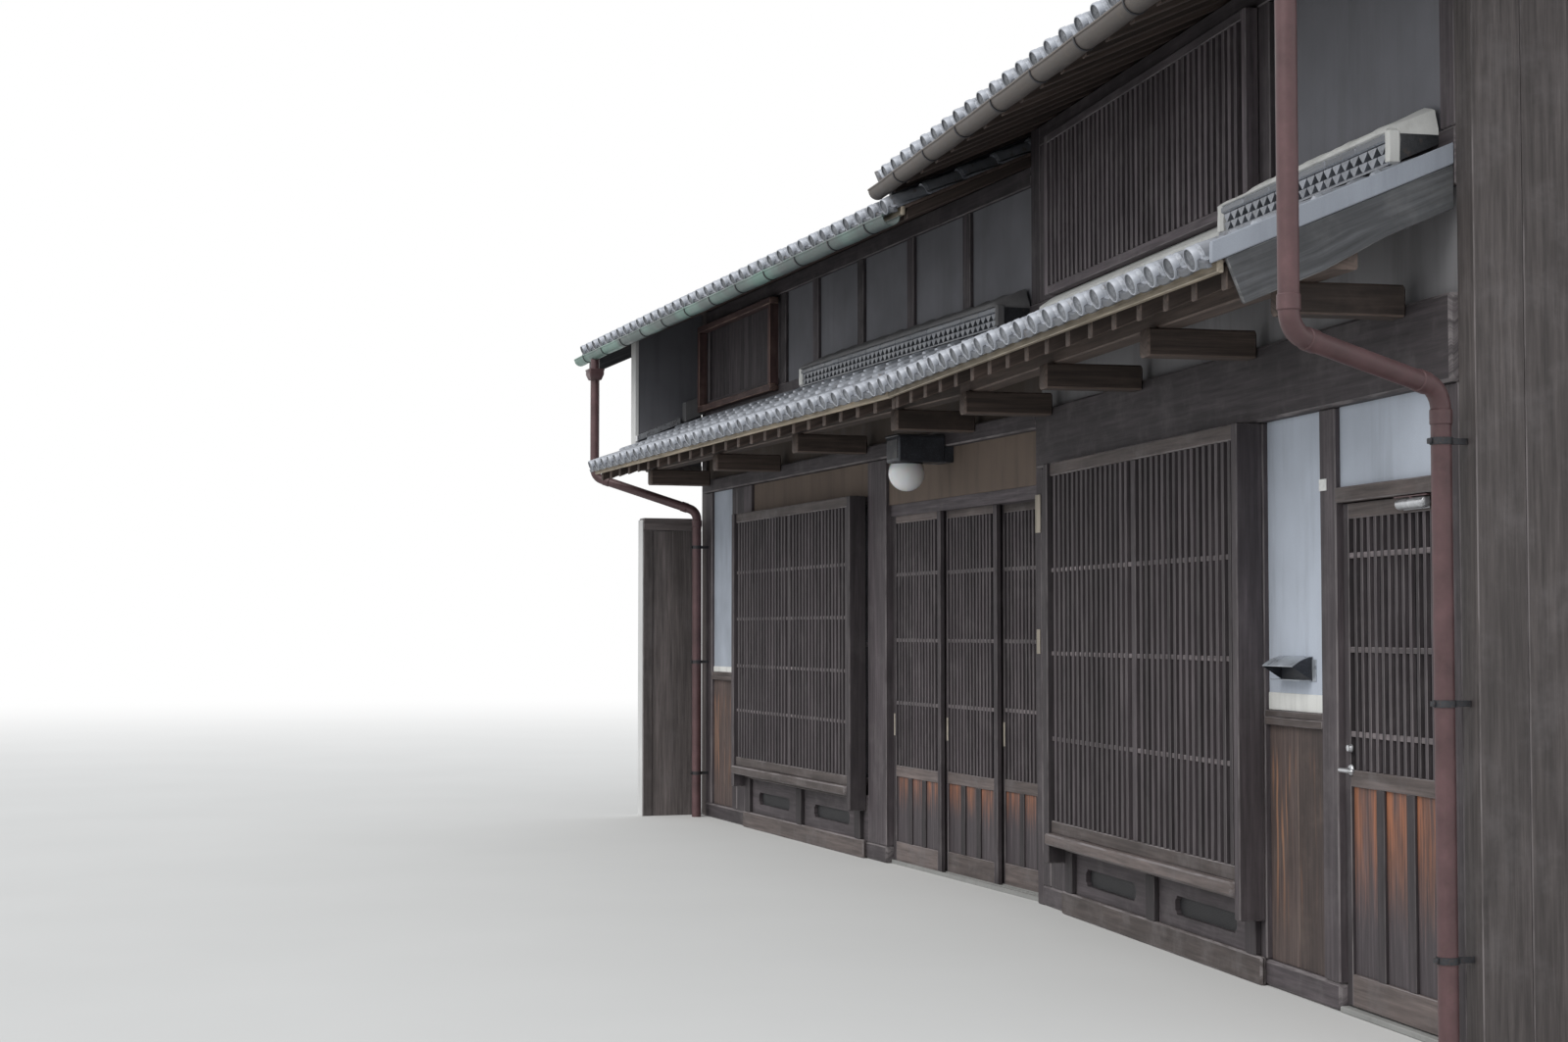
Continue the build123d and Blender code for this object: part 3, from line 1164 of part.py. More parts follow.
def gutter(plan, span, eave):
    """A half-round gutter on hooks that are nailed to the fascia."""
    middle = (EAVE_FACE - GUTTER_RADIUS - HOOK_WALL, eave - GUTTER_DROP - DECK)
    with BuildSketch(across(plan, span[0])) as trough:
        with Locations(middle):
            RegularPolygon(GUTTER_RADIUS, ROUND)
            RegularPolygon(GUTTER_RADIUS - GUTTER_WALL, ROUND, mode=Mode.SUBTRACT)
            with Locations((0, GUTTER_RADIUS)):
                Rectangle(4 * GUTTER_RADIUS, 2 * GUTTER_RADIUS, mode=Mode.SUBTRACT)
    extrude(trough.sketch, amount=length(span))
    hook_span = (span[0] + HOOK_PITCH / 2, span[1] - HOOK_PITCH / 2)
    for place in evenly(hook_span, HOOK_PITCH):
        with BuildSketch(across(plan, place)) as hook:
            with Locations(middle):
                RegularPolygon(GUTTER_RADIUS + HOOK_WALL, ROUND)
                RegularPolygon(GUTTER_RADIUS, ROUND, mode=Mode.SUBTRACT)
                with Locations((0, GUTTER_RADIUS)):
                    Rectangle(4 * GUTTER_RADIUS, 2 * GUTTER_RADIUS, mode=Mode.SUBTRACT)
                with Locations((GUTTER_RADIUS + HOOK_WALL / 2, GUTTER_DROP / 2)):
                    Rectangle(HOOK_WALL, GUTTER_DROP)
        extrude(hook.sketch, amount=HOOK_WIDTH)


with BuildPart() as gutter_left:
    gutter(left_plan, LEFT_ROOF, LEFT_EAVE_TOP)
export(gutter_left, "gutter_left")

with BuildPart() as gutter_right:
    gutter(right_plan, RIGHT_ROOF, RIGHT_EAVE_TOP)
    trim_right(RIGHT_ROOF_LAP)
export(gutter_right, "gutter_right")


def downspout(plan, points, clamps):
    """A round pipe along straight runs with bends, and clamps that hold it to the wall."""
    route = [plan.from_local_coords(point) for point in points]
    with BuildLine() as path:
        FilletPolyline(*route, radius=PIPE_BEND)
    with BuildSketch(Plane(origin=path.line @ 0, z_dir=path.line % 0)) as section:
        RegularPolygon(PIPE_RADIUS, SMALL_ROUND)
    sweep(section.sketch, path=path.line)
    foot_x, foot_y, _ = points[-1]
    head_x, head_y, outlet = points[0]
    hopper = (outlet - HOPPER_NECK - HOPPER[2], outlet - HOPPER_NECK)
    block(plan, about(head_x, HOPPER[0]), about(head_y, HOPPER[1]), hopper)
    for level in clamps:
        wall = (foot_y + PIPE_RADIUS / 2, 0)
        block(plan, about(foot_x, CLAMP_WIDTH), wall, about(level, CLAMP_WIDTH))


def pipe_route(head_x, foot_x, eave, bends):
    """The corners of a downspout: down from the gutter, back to the wall, down to the ground."""
    head_y = EAVE_FACE - GUTTER_RADIUS - HOOK_WALL
    outlet = eave - GUTTER_DROP - DECK - GUTTER_RADIUS
    return (
        (head_x, head_y, outlet),
        (head_x, head_y, bends[0]),
        (foot_x, -PIPE_STAND_OFF, bends[1]),
        (foot_x, -PIPE_STAND_OFF, 0),
    )


LEFT_ENDS = (-LEFT_WIDTH - LEFT_PIPE_HEAD, -LEFT_WIDTH + LEFT_PIPE_FOOT)
RIGHT_ENDS = (RIGHT_WIDTH + RIGHT_PIPE_HEAD, RIGHT_WIDTH - RIGHT_PIPE_FOOT)
LEFT_PIPE = pipe_route(*LEFT_ENDS, LEFT_EAVE_TOP, LEFT_PIPE_BENDS)
RIGHT_PIPE = pipe_route(*RIGHT_ENDS, RIGHT_EAVE_TOP, RIGHT_PIPE_BENDS)

with BuildPart() as downspout_left:
    downspout(left_plan, LEFT_PIPE, PIPE_CLAMPS)
export(downspout_left, "downspout_left")

with BuildPart() as downspout_right:
    downspout(right_plan, RIGHT_PIPE, PIPE_CLAMPS)
export(downspout_right, "downspout_right")
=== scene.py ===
"""A timber townhouse of two wings, dressed for its picture.

The script is laid out as an add-on. Each operator makes one group of pieces over the
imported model: timber frame, lattices, doors, tiles, bands, gutters and fittings.
All lengths here are in metres. A wing measures x along its own front from the bend,
y into the house and z up.
"""
import math

import bpy
import numpy as np
from bpy.props import FloatProperty, FloatVectorProperty, PointerProperty
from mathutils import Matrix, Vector


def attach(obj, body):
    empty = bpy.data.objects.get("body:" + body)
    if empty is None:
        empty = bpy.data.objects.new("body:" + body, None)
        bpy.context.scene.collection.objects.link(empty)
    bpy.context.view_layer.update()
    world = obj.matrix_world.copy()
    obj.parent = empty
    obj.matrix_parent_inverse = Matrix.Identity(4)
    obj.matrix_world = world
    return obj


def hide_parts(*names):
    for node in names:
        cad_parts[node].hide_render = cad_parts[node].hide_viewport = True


bl_info = {
    "name": "Timber Townhouse",
    "version": (1, 0, 0),
    "blender": (4, 5, 0),
    "location": "View3D > Sidebar > Townhouse",
    "description": "Dresses a two-wing timber townhouse: frame, lattices, doors, tiles, gutters",
    "category": "Object",
}

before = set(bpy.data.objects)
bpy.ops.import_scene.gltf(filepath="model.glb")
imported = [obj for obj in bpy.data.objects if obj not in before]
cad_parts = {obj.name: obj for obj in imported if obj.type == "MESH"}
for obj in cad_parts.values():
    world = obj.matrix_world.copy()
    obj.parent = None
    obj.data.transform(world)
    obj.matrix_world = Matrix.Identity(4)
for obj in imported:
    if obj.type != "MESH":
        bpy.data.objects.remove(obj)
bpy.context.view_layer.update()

# Plan and levels
BEND = math.radians(6.3)
CORNER = (0.035, -0.060)
LEFT_WIDTH = 6.60
RIGHT_WIDTH = 4.80
DEPTH = 7.30
RIDGE_Y = DEPTH / 2
POST = (0.0, 0.12)
FRAME_BACK = 0.194
PARTY = (-0.12, 0.0)
LEFT_END = -6.48
RIGHT_END = 4.68
PAST_BEND = -0.02
NOWHERE = -100.0
GROUND_BEAM = 0.11
DADO_TOP = 1.16
HEAD_BEAM = 2.38
LEFT_BEAM = 2.60
BEAM_TOP = 2.70
BEAM_FACE = (-0.03, 0.12)

# Roofs: slope, overhang and the deck's level at the eave
PENT_SLOPE = 0.42
PENT_OVERHANG = 0.87
PENT_EAVE = 2.80
ROOF_SLOPE = 0.45
ROOF_OVERHANG = 0.75
LEFT_EAVE = 3.82
RIGHT_EAVE = 4.02
DECK = 0.02
RAFTER = (0.05, 0.06)
PENT_RAFTER = 0.10
FASCIA = 0.025
FASCIA_DEPTH = 0.055
NOSE = 0.03
TILE_PITCH = 0.20
PAN = 0.025
ROLL = 0.055
ROLL_SHARE = 0.45
ROLL_EDGE = 0.2751
LAP = 0.46
SWEEP = (DEPTH + 2 * ROOF_OVERHANG) * math.tan(BEND) + 2 * LAP
LEFT_ROOF = (-LEFT_WIDTH - 0.78, -0.12)
RIGHT_ROOF = (-SWEEP, RIGHT_WIDTH + 0.38)
LEFT_PENT = (-LEFT_WIDTH, 0.0)
RIGHT_PENT = (-SWEEP, RIGHT_WIDTH - 0.15)
EAVE_FACE = -ROOF_OVERHANG - FASCIA

# Openings and panels along the front
LEFT_LATTICE = (-5.39, -2.76)
RIGHT_LATTICE = (0.386, 2.97)
LEFT_WINDOW = (-5.27, -2.73)
RIGHT_WINDOW = (0.506, 2.85)
LEFT_PANEL = (-6.32, -5.76)
RIGHT_PANEL = (2.97, 3.53)
ENTRY = (-2.40, -0.07)
SIDE_DOOR = (3.67, 4.52)
UPPER_SILL = 3.30
UPPER_LATTICE = (0.25, 2.97)
LEFT_PLATE = (3.9675, 4.0775)
RIGHT_PLATE = (4.1675, 4.2775)
PENT_UNDERSIDE = 3.0854
SLEEVE = (-6.74, -LEFT_WIDTH)
LEFT_SILL = 0.47
RIGHT_SILL = 0.43

# Widths and depths of frames, rails, door tracks, boards and gutters
SILL = 0.06
LATTICE_FRAME = 0.055
RAIL = 0.022
STILE = 0.045
TRACK = 0.05
TRACK_PITCH = 0.044
BOARD = (0.025, 0.043)
BACKING = (0.043, 0.061)
GUTTER = 0.052
GUTTER_DROP = 0.065

# Wings, axes and headings
LEFT, RIGHT = 0, 1
X, Y, Z = 0, 1, 2
ALONG, OUTWARD, UP = (1, 0, 0), (0, -1, 0), (0, 0, 1)

# The photograph's eye: its place, its way across the ground, and its focal length and the
# horizon's distance under the middle in pixels of a frame of 1600 by 1063
EYE = (11.825, -5.47, 1.5)
SIGHT = (-0.9489, 0.3156)
PHOTO_FOCUS = 2400
HORIZON_DROP = 110.5

chance = np.random.default_rng(23)


def pent_top(y):
    """The pent deck's height at y: its level at the eave plus its slope times the way in."""
    return PENT_EAVE + PENT_SLOPE * (y + PENT_OVERHANG)


def roof_top(eave, y):
    """A main deck's height at y on its front slope."""
    return eave + ROOF_SLOPE * (y + ROOF_OVERHANG)


def evenly(span, pitch):
    """Places spread evenly over a span, about a pitch apart, both ends included."""
    steps = max(1, round((span[1] - span[0]) / pitch))
    return np.linspace(span[0], span[1], steps + 1)


def parts_of(span, pitch, gap=0.0):
    """Ranges that fill a span, each about a pitch long and a gap short at both ends."""
    edges = evenly(span, pitch)
    return [(a + gap, b - gap) for a, b in zip(edges, edges[1:])]


def between(span, count):
    """The middles of a number of like things in a span, with equal gaps."""
    return np.linspace(span[0], span[1], count + 2)[1:-1]


def about(middle, width):
    """The range of a width about a middle."""
    return (middle - width / 2, middle + width / 2)


def framed(span, width):
    """The range inside a frame's two uprights of a width, and the ranges of the uprights."""
    inner = (span[0] + width, span[1] - width)
    return inner, ((span[0], inner[0]), (inner[1], span[1]))


def mirrored(rings):
    """Points moved from the front of the house to the same place at its back."""
    rings[..., 1] = DEPTH - rings[..., 1]
    return rings


def unit(vector):
    """A vector made one long."""
    return np.asarray(vector, float) / np.linalg.norm(vector)


def arc(start, end, count):
    """Points of a circle of radius one between two angles."""
    angle = np.linspace(start, end, count)
    return np.stack([np.cos(angle), np.sin(angle)], axis=-1)


def standing(places, width):
    """The ranges of like uprights about the given places."""
    return [about(place, width) for place in places]


def linked(name, data):
    """A new object of the scene that shows a mesh, a lamp or a camera."""
    made = bpy.data.objects.new(name, data)
    bpy.context.scene.collection.objects.link(made)
    return made


finishes = {}


class Shell:
    """Gathers the surfaces of one piece, with grain UVs and each face's tone and wear.

    Points are given in a wing's own axes and are turned into the house's frame as they
    come in. On the right wing, trim cuts x off at the plane that stands that far left of
    the party wall.
    """

    def __init__(self, wing=LEFT, trim=None):
        self.wing, self.trim, self.total = wing, trim, 0
        self.points, self.loops, self.sizes, self.slots = [], [], [], []
        self.uvs, self.tones, self.wears = [], [], []

    def seam(self, y):
        """Where the plane that trims the right wing cuts a line along the wing at y."""
        if self.wing != RIGHT or self.trim is None:
            return np.full(np.shape(y), NOWHERE)
        return (-self.trim - y * math.sin(BEND)) / math.cos(BEND)

    def store(self, points):
        """Turn points about the bend by the wing's angle and keep them; give the first index."""
        x, y, z = np.reshape(points, (-1, 3)).T
        turn = BEND if self.wing == RIGHT else 0.0
        cos, sin = math.cos(turn), math.sin(turn)
        x = np.maximum(x, self.seam(y))
        turned = (CORNER[0] + x * cos + y * sin, CORNER[1] - x * sin + y * cos, z)
        self.points.append(np.stack(turned, axis=-1))
        self.total += len(x)
        return self.total - len(x)

    def keep(self, faces, uv, tone, wear_and_highlight, slot):
        """Keep faces of one size, given as corner indices, with their finish."""
        count, size = faces.shape
        self.loops.append(faces.ravel())
        self.sizes.append(np.full(count, size))
        self.uvs.append(uv.reshape(-1, 2))
        self.tones.append(np.repeat(np.broadcast_to(tone, count), size))
        self.wears.append(np.repeat(np.broadcast_to(wear_and_highlight, count), size))
        self.slots.append(np.full(count, slot))

    def loft(self, rings, wear_and_highlight=0.0, slot=0, tone=None, grain=0.0, chart=None):
        """Closed shells, each a row of like rings joined side to side, with a face on both ends.

        The rings come as (shells, rings, points, 3). A face between ring i and ring i + 1
        joins points j and j + 1 of both. Faces are turned outwards where the sum of the
        face areas dotted with their places, which is three times the volume, is negative.
        """
        rings = np.asarray(rings, float)
        rings = rings[None] if rings.ndim == 3 else rings
        shells, rows, sides = rings.shape[:3]
        first = self.store(rings) + np.arange(shells)[:, None, None] * rows * sides
        i, j = np.arange(rows - 1)[None, :, None], np.arange(sides)
        k = (j + 1) % sides
        corners = (i * sides + j, i * sides + k, (i + 1) * sides + k, (i + 1) * sides + j)
        quads = np.stack([first + corner for corner in corners], axis=-1)
        local = rings - rings.mean(axis=(1, 2), keepdims=True)
        ahead = np.roll(local, -1, axis=2)
        centre = local[:, 1:] + local[:, :-1] + ahead[:, 1:] + ahead[:, :-1]
        areas = np.cross(ahead[:, 1:] - local[:, :-1], local[:, 1:] - ahead[:, :-1])
        ends = (np.cross(local, ahead).sum(axis=2) * local.mean(axis=2)).sum(axis=-1)
        inside_out = (areas * centre).sum(axis=(1, 2, 3)) / 4 + ends[:, -1] - ends[:, 0] < 0

        def added(lengths):
            """Lengths added up from nought, shell by shell."""
            return np.concatenate([np.zeros((shells, 1)), np.cumsum(lengths, axis=1)], axis=1)

        along = added(np.linalg.norm(np.diff(rings, axis=1), axis=-1).mean(axis=2))
        along = along + np.reshape(grain, (-1, 1))
        round_it = added(np.linalg.norm(ahead - local, axis=-1).mean(axis=1))

        def cornered(values, steps, offsets):
            """The values at the four corners of each face."""
            return np.stack([values[..., n : steps + n] for n in offsets], axis=-1)

        if chart is None:
            u = cornered(along, rows - 1, (0, 0, 1, 1))[:, :, None]
            v = cornered(round_it, sides, (0, 1, 1, 0))[:, None]
        else:
            u = cornered(chart[1], sides, (0, 1, 1, 0))
            v = cornered(chart[0], rows - 1, (0, 0, 1, 1))[:, None]
        shape = (shells, rows - 1, sides, 4)
        uv = np.stack([np.broadcast_to(u, shape), np.broadcast_to(v, shape)], axis=-1)
        quads[inside_out] = quads[inside_out][..., ::-1]
        uv[inside_out] = uv[inside_out][..., ::-1, :]
        tone = chance.random(shells) if tone is None else np.broadcast_to(tone, shells)
        wear_and_highlight = np.broadcast_to(wear_and_highlight, (rows - 1, sides))
        tones = np.repeat(tone, (rows - 1) * sides)
        wears = np.tile(wear_and_highlight.ravel(), shells)
        self.keep(quads.reshape(-1, 4), uv, tones, wears, slot)
        for offset, row, flip in ((0, 0, ~inside_out), ((rows - 1) * sides, -1, inside_out)):
            cap = first[:, 0] + offset + j[None]
            cap[flip] = cap[flip][:, ::-1]
            cap_uv = np.stack([along[:, row][:, None] + 0 * round_it[:, :-1], round_it[:, :-1]], axis=-1)
            cap_uv[flip] = cap_uv[flip][:, ::-1]
            self.keep(cap, cap_uv, tone, 0.6, slot)

    def timbers(self, x, y, z, axis, chamfer=0.004, bow=0.001, slot=0, tone=None, lean=0.0, shape=None):
        """Chamfered timbers that fill boxes, with a range or a list of ranges along x, y and z.

        The outline is a rectangle with its corners cut off by the chamfer, carried along
        the axis X, Y or Z. It shrinks by the chamfer at both ends, and in the middle it wanders
        sideways by up to the bow. A lean adds that slope times y to z.
        """
        ranges = [np.reshape(part, (-1, 2)).astype(float) for part in (x, y, z)]
        boxes = np.stack(np.broadcast_arrays(*ranges), axis=1)
        a, b, c = axis, (axis + 1) % 3, (axis + 2) % 3
        size = boxes[..., 1] - boxes[..., 0]
        middle = boxes.mean(axis=-1)
        cut = np.minimum(chamfer, 0.3 * size.min(axis=1))[:, None]
        half_b, half_c = size[:, b, None] / 2, size[:, c, None] / 2
        in_b, in_c = half_b - cut, half_c - cut
        ring_b = np.hstack([half_b, half_b, in_b, -in_b, -half_b, -half_b, -in_b, in_b])
        ring_c = np.hstack([-in_c, in_c, half_c, half_c, in_c, -in_c, -half_c, -half_c])
        share = np.array([0.0, 0.0, 0.35, 0.7, 1.0, 1.0])
        nudge = np.array([0.0, 1.0, 0.0, 0.0, -1.0, 0.0])
        stations = boxes[:, a, 0, None] + size[:, a, None] * share + cut * nudge
        shrink = np.array([1.0, 0.0, 0.0, 0.0, 0.0, 1.0])
        sway = (chance.random((len(boxes), 6, 2)) - 0.5) * 2 * bow * (1 - shrink)[None, :, None]
        sway[:, (1, 4)] = 0
        rings = np.zeros((len(boxes), 6, 8, 3))
        rings[..., a] = stations[:, :, None]
        inset = shrink[None, :, None] * cut[:, None]
        for way, (at, ring) in enumerate(((b, ring_b), (c, ring_c))):
            rings[..., at] = middle[:, at, None, None] + (ring[:, None] - np.sign(ring)[:, None] * inset)
            rings[..., at] += sway[..., way, None]
        rings[..., 2] += lean * rings[..., 1]
        if shape is not None:
            rings = shape(rings)
        wear_and_highlight = np.zeros((5, 8))
        wear_and_highlight[:, 1::2] = 1.0
        wear_and_highlight[(0, 4), :] = 1.0
        self.loft(rings, wear_and_highlight, slot, tone, grain=boxes[:, a, 0])

    def slab(self, x, y, z, axis, chamfer, slot=0):
        """Timbers or plates that are straight, without any bow."""
        self.timbers(x, y, z, axis, chamfer, 0.0, slot)

    def run(self, outline, stations, wear_and_highlight=0.0, slot=0, lift=0.0):
        """One outline of (y, z) points carried along x through the stations, each with its lift."""
        rings = np.zeros((len(stations), len(outline), 3))
        rings[..., 0] = np.reshape(stations, (-1, 1))
        rings[..., 1:] = outline
        rings[..., 2] += np.reshape(lift, (-1, 1))
        self.loft(rings, wear_and_highlight, slot)

    def along(self, path, outline, across):
        """An outline of (u, v) points carried along a path that lies in one plane.

        u is measured along the plane's own normal, `across`, and v along the normal of
        the path in its plane, the cross product of the path's direction and `across`.
        """
        heading = np.gradient(path, axis=0)
        lift = np.cross(heading / np.linalg.norm(heading, axis=1, keepdims=True), across)
        self.loft(path[:, None] + outline[:, :1] * across + outline[:, 1:] * lift[:, None])

    def turned(self, places, profile, heading, sides, slot=0, chart=False):
        """Round pieces: a profile of (radius, way along) points turned about a heading.

        With a chart, u is the angle and v the share of the outermost radius.
        """
        heading, circle, profile = unit(heading), arc(0, 2 * math.pi, sides + 1), np.array(profile)
        side = unit(np.cross(heading, (0.31, 0.17, 0.93)))
        turn = circle[:-1, :1] * side + circle[:-1, 1:] * np.cross(heading, side)
        out, way = profile.T[..., None, None]
        rings = np.reshape(places, (-1, 1, 1, 3)) + out * turn + way * heading
        share, angle = profile[:, 0] / profile[:, 0].max(), np.linspace(0, 2 * math.pi, sides + 1)
        self.loft(rings, 0.0, slot, chart=(share, angle) if chart else None)

    def relief(self, top, floor, uv, tone, wear_and_highlight):
        """A closed slab with a worked top: a grid of points, and a flat floor under its rim."""
        def corners(grid, axis=-2):
            """The four corners of each square of a grid."""
            return np.stack([grid[:-1, :-1], grid[:-1, 1:], grid[1:, 1:], grid[1:, :-1]], axis=axis)

        def rim(grid):
            """The points round a grid's edge."""
            return np.concatenate([grid[0, :-1], grid[:-1, -1], grid[-1, :0:-1], grid[:0:-1, 0]])

        def after(points):
            """For each point the next one round the rim."""
            return np.roll(points, -1, axis=0)

        index = self.store(top) + np.arange(top[..., 0].size).reshape(top.shape[:2])
        rim_top, rim_uv = rim(index), rim(uv)
        rim_floor = self.store(rim(floor)) + np.arange(len(rim_top))
        quads, quad_uv, base = corners(index, -1), corners(uv), rim_floor[None]
        skirt = np.stack([rim_top, rim_floor, after(rim_floor), after(rim_top)], axis=-1)
        if np.cross(top[-1, 0] - top[0, 0], top[0, -1] - top[0, 0])[2] > 0:
            quads, quad_uv, skirt = quads[..., ::-1], quad_uv[..., ::-1, :], skirt[..., ::-1]
        else:
            base = base[..., ::-1]
        self.keep(quads.reshape(-1, 4), quad_uv, tone.ravel(), wear_and_highlight.ravel(), 0)
        self.keep(skirt, np.stack([rim_uv, rim_uv, after(rim_uv), after(rim_uv)], axis=1), 0.5, 0.3, 0)
        self.keep(base, rim_uv[None], 0.5, 0.0, 0)

    def ring(self, rings):
        """A section of points carried round in a closed loop and joined to its own start."""
        rows, sides = rings.shape[:2]
        i, j = np.arange(rows)[:, None] * sides, np.arange(sides)
        k, m = (j + 1) % sides, (i + sides) % (rows * sides)
        quads = np.stack([i + j, i + k, m + k, m + j], axis=-1).reshape(-1, 4)
        a, b, c, d = points = rings.reshape(-1, 3)[quads.T]
        volume = (np.cross(c - a, d - b) * points.mean(axis=0)).sum()
        uv = points[..., (0, 2)].swapaxes(0, 1)
        if volume < 0:
            quads, uv = quads[:, ::-1], uv[:, ::-1]
        self.keep(self.store(rings) + quads, uv, 0.5, 0.0, 0)

    def piece(self, name, keys, nodes="", slot="dark_timber", body="house"):
        """Put everything gathered into one mesh object and bind it to its CAD body.

        Its finishes and the CAD nodes that it replaces come as names with commas between,
        and a face's slot counts along the finishes.
        """
        mesh = bpy.data.meshes.new(name)
        points, loops, sizes, slots = map(np.concatenate, (self.points, self.loops, self.sizes, self.slots))
        mesh.vertices.add(len(points))
        mesh.vertices.foreach_set("co", points.ravel())
        mesh.loops.add(len(loops))
        mesh.loops.foreach_set("vertex_index", loops)
        mesh.polygons.add(len(sizes))
        mesh.polygons.foreach_set("loop_start", np.cumsum(sizes) - sizes)
        mesh.polygons.foreach_set("material_index", slots)
        mesh.polygons.foreach_set("use_smooth", np.ones(len(sizes), bool))
        mesh.uv_layers.new(name="grain").data.foreach_set("uv", np.concatenate(self.uvs).ravel())
        for title, values in (("tone", self.tones), ("wear_and_highlight", self.wears)):
            layer = mesh.attributes.new(title, "FLOAT", "CORNER")
            layer.data.foreach_set("value", np.concatenate(values).astype(np.float32))
        mesh.update(calc_edges=True)
        mesh.set_sharp_from_angle(angle=math.radians(38.0))
        for key in keys.split(", "):
            mesh.materials.append(finishes[key])
        piece = linked(name, mesh)
        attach(piece, body)
        if nodes:
            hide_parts(*nodes.split(", "))


class Finish:
    """One material, put together node by node."""

    def __init__(self, name, owner=None):
        self.material = owner or bpy.data.materials.new(name)
        self.material.use_nodes = True
        self.tree = self.material.node_tree
        self.tree.nodes.clear()

    def node(self, kind, inputs=None, **settings):
        """A shader node with its settings; each input is a value or another node's output."""
        node = self.tree.nodes.new("ShaderNode" + kind)
        for name, value in settings.items():
            setattr(node, name, value)
        for key, value in (inputs or {}).items():
            if isinstance(value, bpy.types.NodeSocket):
                self.tree.links.new(value, node.inputs[key])
            else:
                node.inputs[key].default_value = value
        return node

    def first(self, kind, inputs=None, **settings):
        """The first output of such a node."""
        return self.node(kind, inputs, **settings).outputs[0]

    def tone(self, title):
        """A number that the mesh carries on its faces."""
        return self.node("Attribute", attribute_name=title).outputs["Fac"]

    def sum(self, kind, first, second):
        """A sum, product or the like of two numbers."""
        return self.first("Math", {0: first, 1: second}, operation=kind)

    def times(self, first, second):
        """The product of two numbers."""
        return self.sum("MULTIPLY", first, second)

    def chart(self):
        """The piece's own UVs."""
        return self.first("UVMap", uv_map="grain")

    def split(self, vector):
        """The parts of a vector."""
        return self.node("SeparateXYZ", {0: vector}).outputs

    def grain(self, stretch, shift=7.0):
        """The piece's own UVs, stretched along the grain and moved on by each timber's tone."""
        long = self.first("VectorMath", {0: self.chart(), 1: (*stretch, 0.0)}, operation="MULTIPLY")
        depth = self.times(self.tone("tone"), shift)
        lift = self.first("CombineXYZ", {"Z": depth})
        return self.first("VectorMath", {0: long, 1: lift}, operation="ADD")

    def place(self):
        """The place on the object itself."""
        return self.node("TexCoord").outputs["Object"]

    def noise(self, vector, scale, detail=4.0, rough=0.6):
        """Cloudy noise between 0 and 1."""
        inputs = {"Vector": vector, "Scale": scale, "Detail": detail, "Roughness": rough}
        return self.first("TexNoise", inputs)

    def ramp(self, value, stops):
        """A colour for each value, by its stops of (place, colour)."""
        node = self.node("ValToRGB", {0: value})
        band = node.color_ramp
        while len(band.elements) < len(stops):
            band.elements.new(0.5)
        for element, (place, colour) in zip(band.elements, stops):
            element.position = place
            element.color = (*colour, 1.0)
        return node.outputs[0]

    def shades(self, value, colour, *stops):
        """A colour darker or lighter for each value, by its stops of (place, share)."""
        return self.ramp(value, [(place, scaled(colour, by)) for place, by in stops])

    def range(self, value, low, high, out_low=0.0, out_high=1.0):
        """A number moved smoothly from one range to another."""
        inputs = {0: value, 1: low, 2: high, 3: out_low, 4: out_high}
        return self.first("MapRange", inputs, interpolation_type="SMOOTHSTEP")

    def blend(self, share, first, second, kind="MIX"):
        """Two colours mixed by a share."""
        def colour(value):
            """A colour of three parts gets a full opacity; anything else stays."""
            return (*value, 1.0) if isinstance(value, tuple) and len(value) == 3 else value
        inputs = {0: share, 6: colour(first), 7: colour(second)}
        return self.node("Mix", inputs, data_type="RGBA", blend_type=kind).outputs[2]

    def bump(self, height, strength, distance, under=None):
        """A surface roughened by a height."""
        inputs = {"Height": height, "Strength": strength, "Distance": distance}
        if under is not None:
            inputs["Normal"] = under
        return self.first("Bump", inputs)

    def surface(self, colour, roughness, normal=None, **extra):
        """The shader that ends the material."""
        inputs = {"Base Color": colour, "Roughness": roughness}
        inputs.update({name.replace("_", " "): value for name, value in extra.items()})
        if normal is not None:
            inputs["Normal"] = normal
        self.node("OutputMaterial", {"Surface": self.first("BsdfPrincipled", inputs)})
        return self.material


def scaled(colour, by):
    """A colour made darker or lighter."""
    return tuple(min(1.0, part * by) for part in colour)


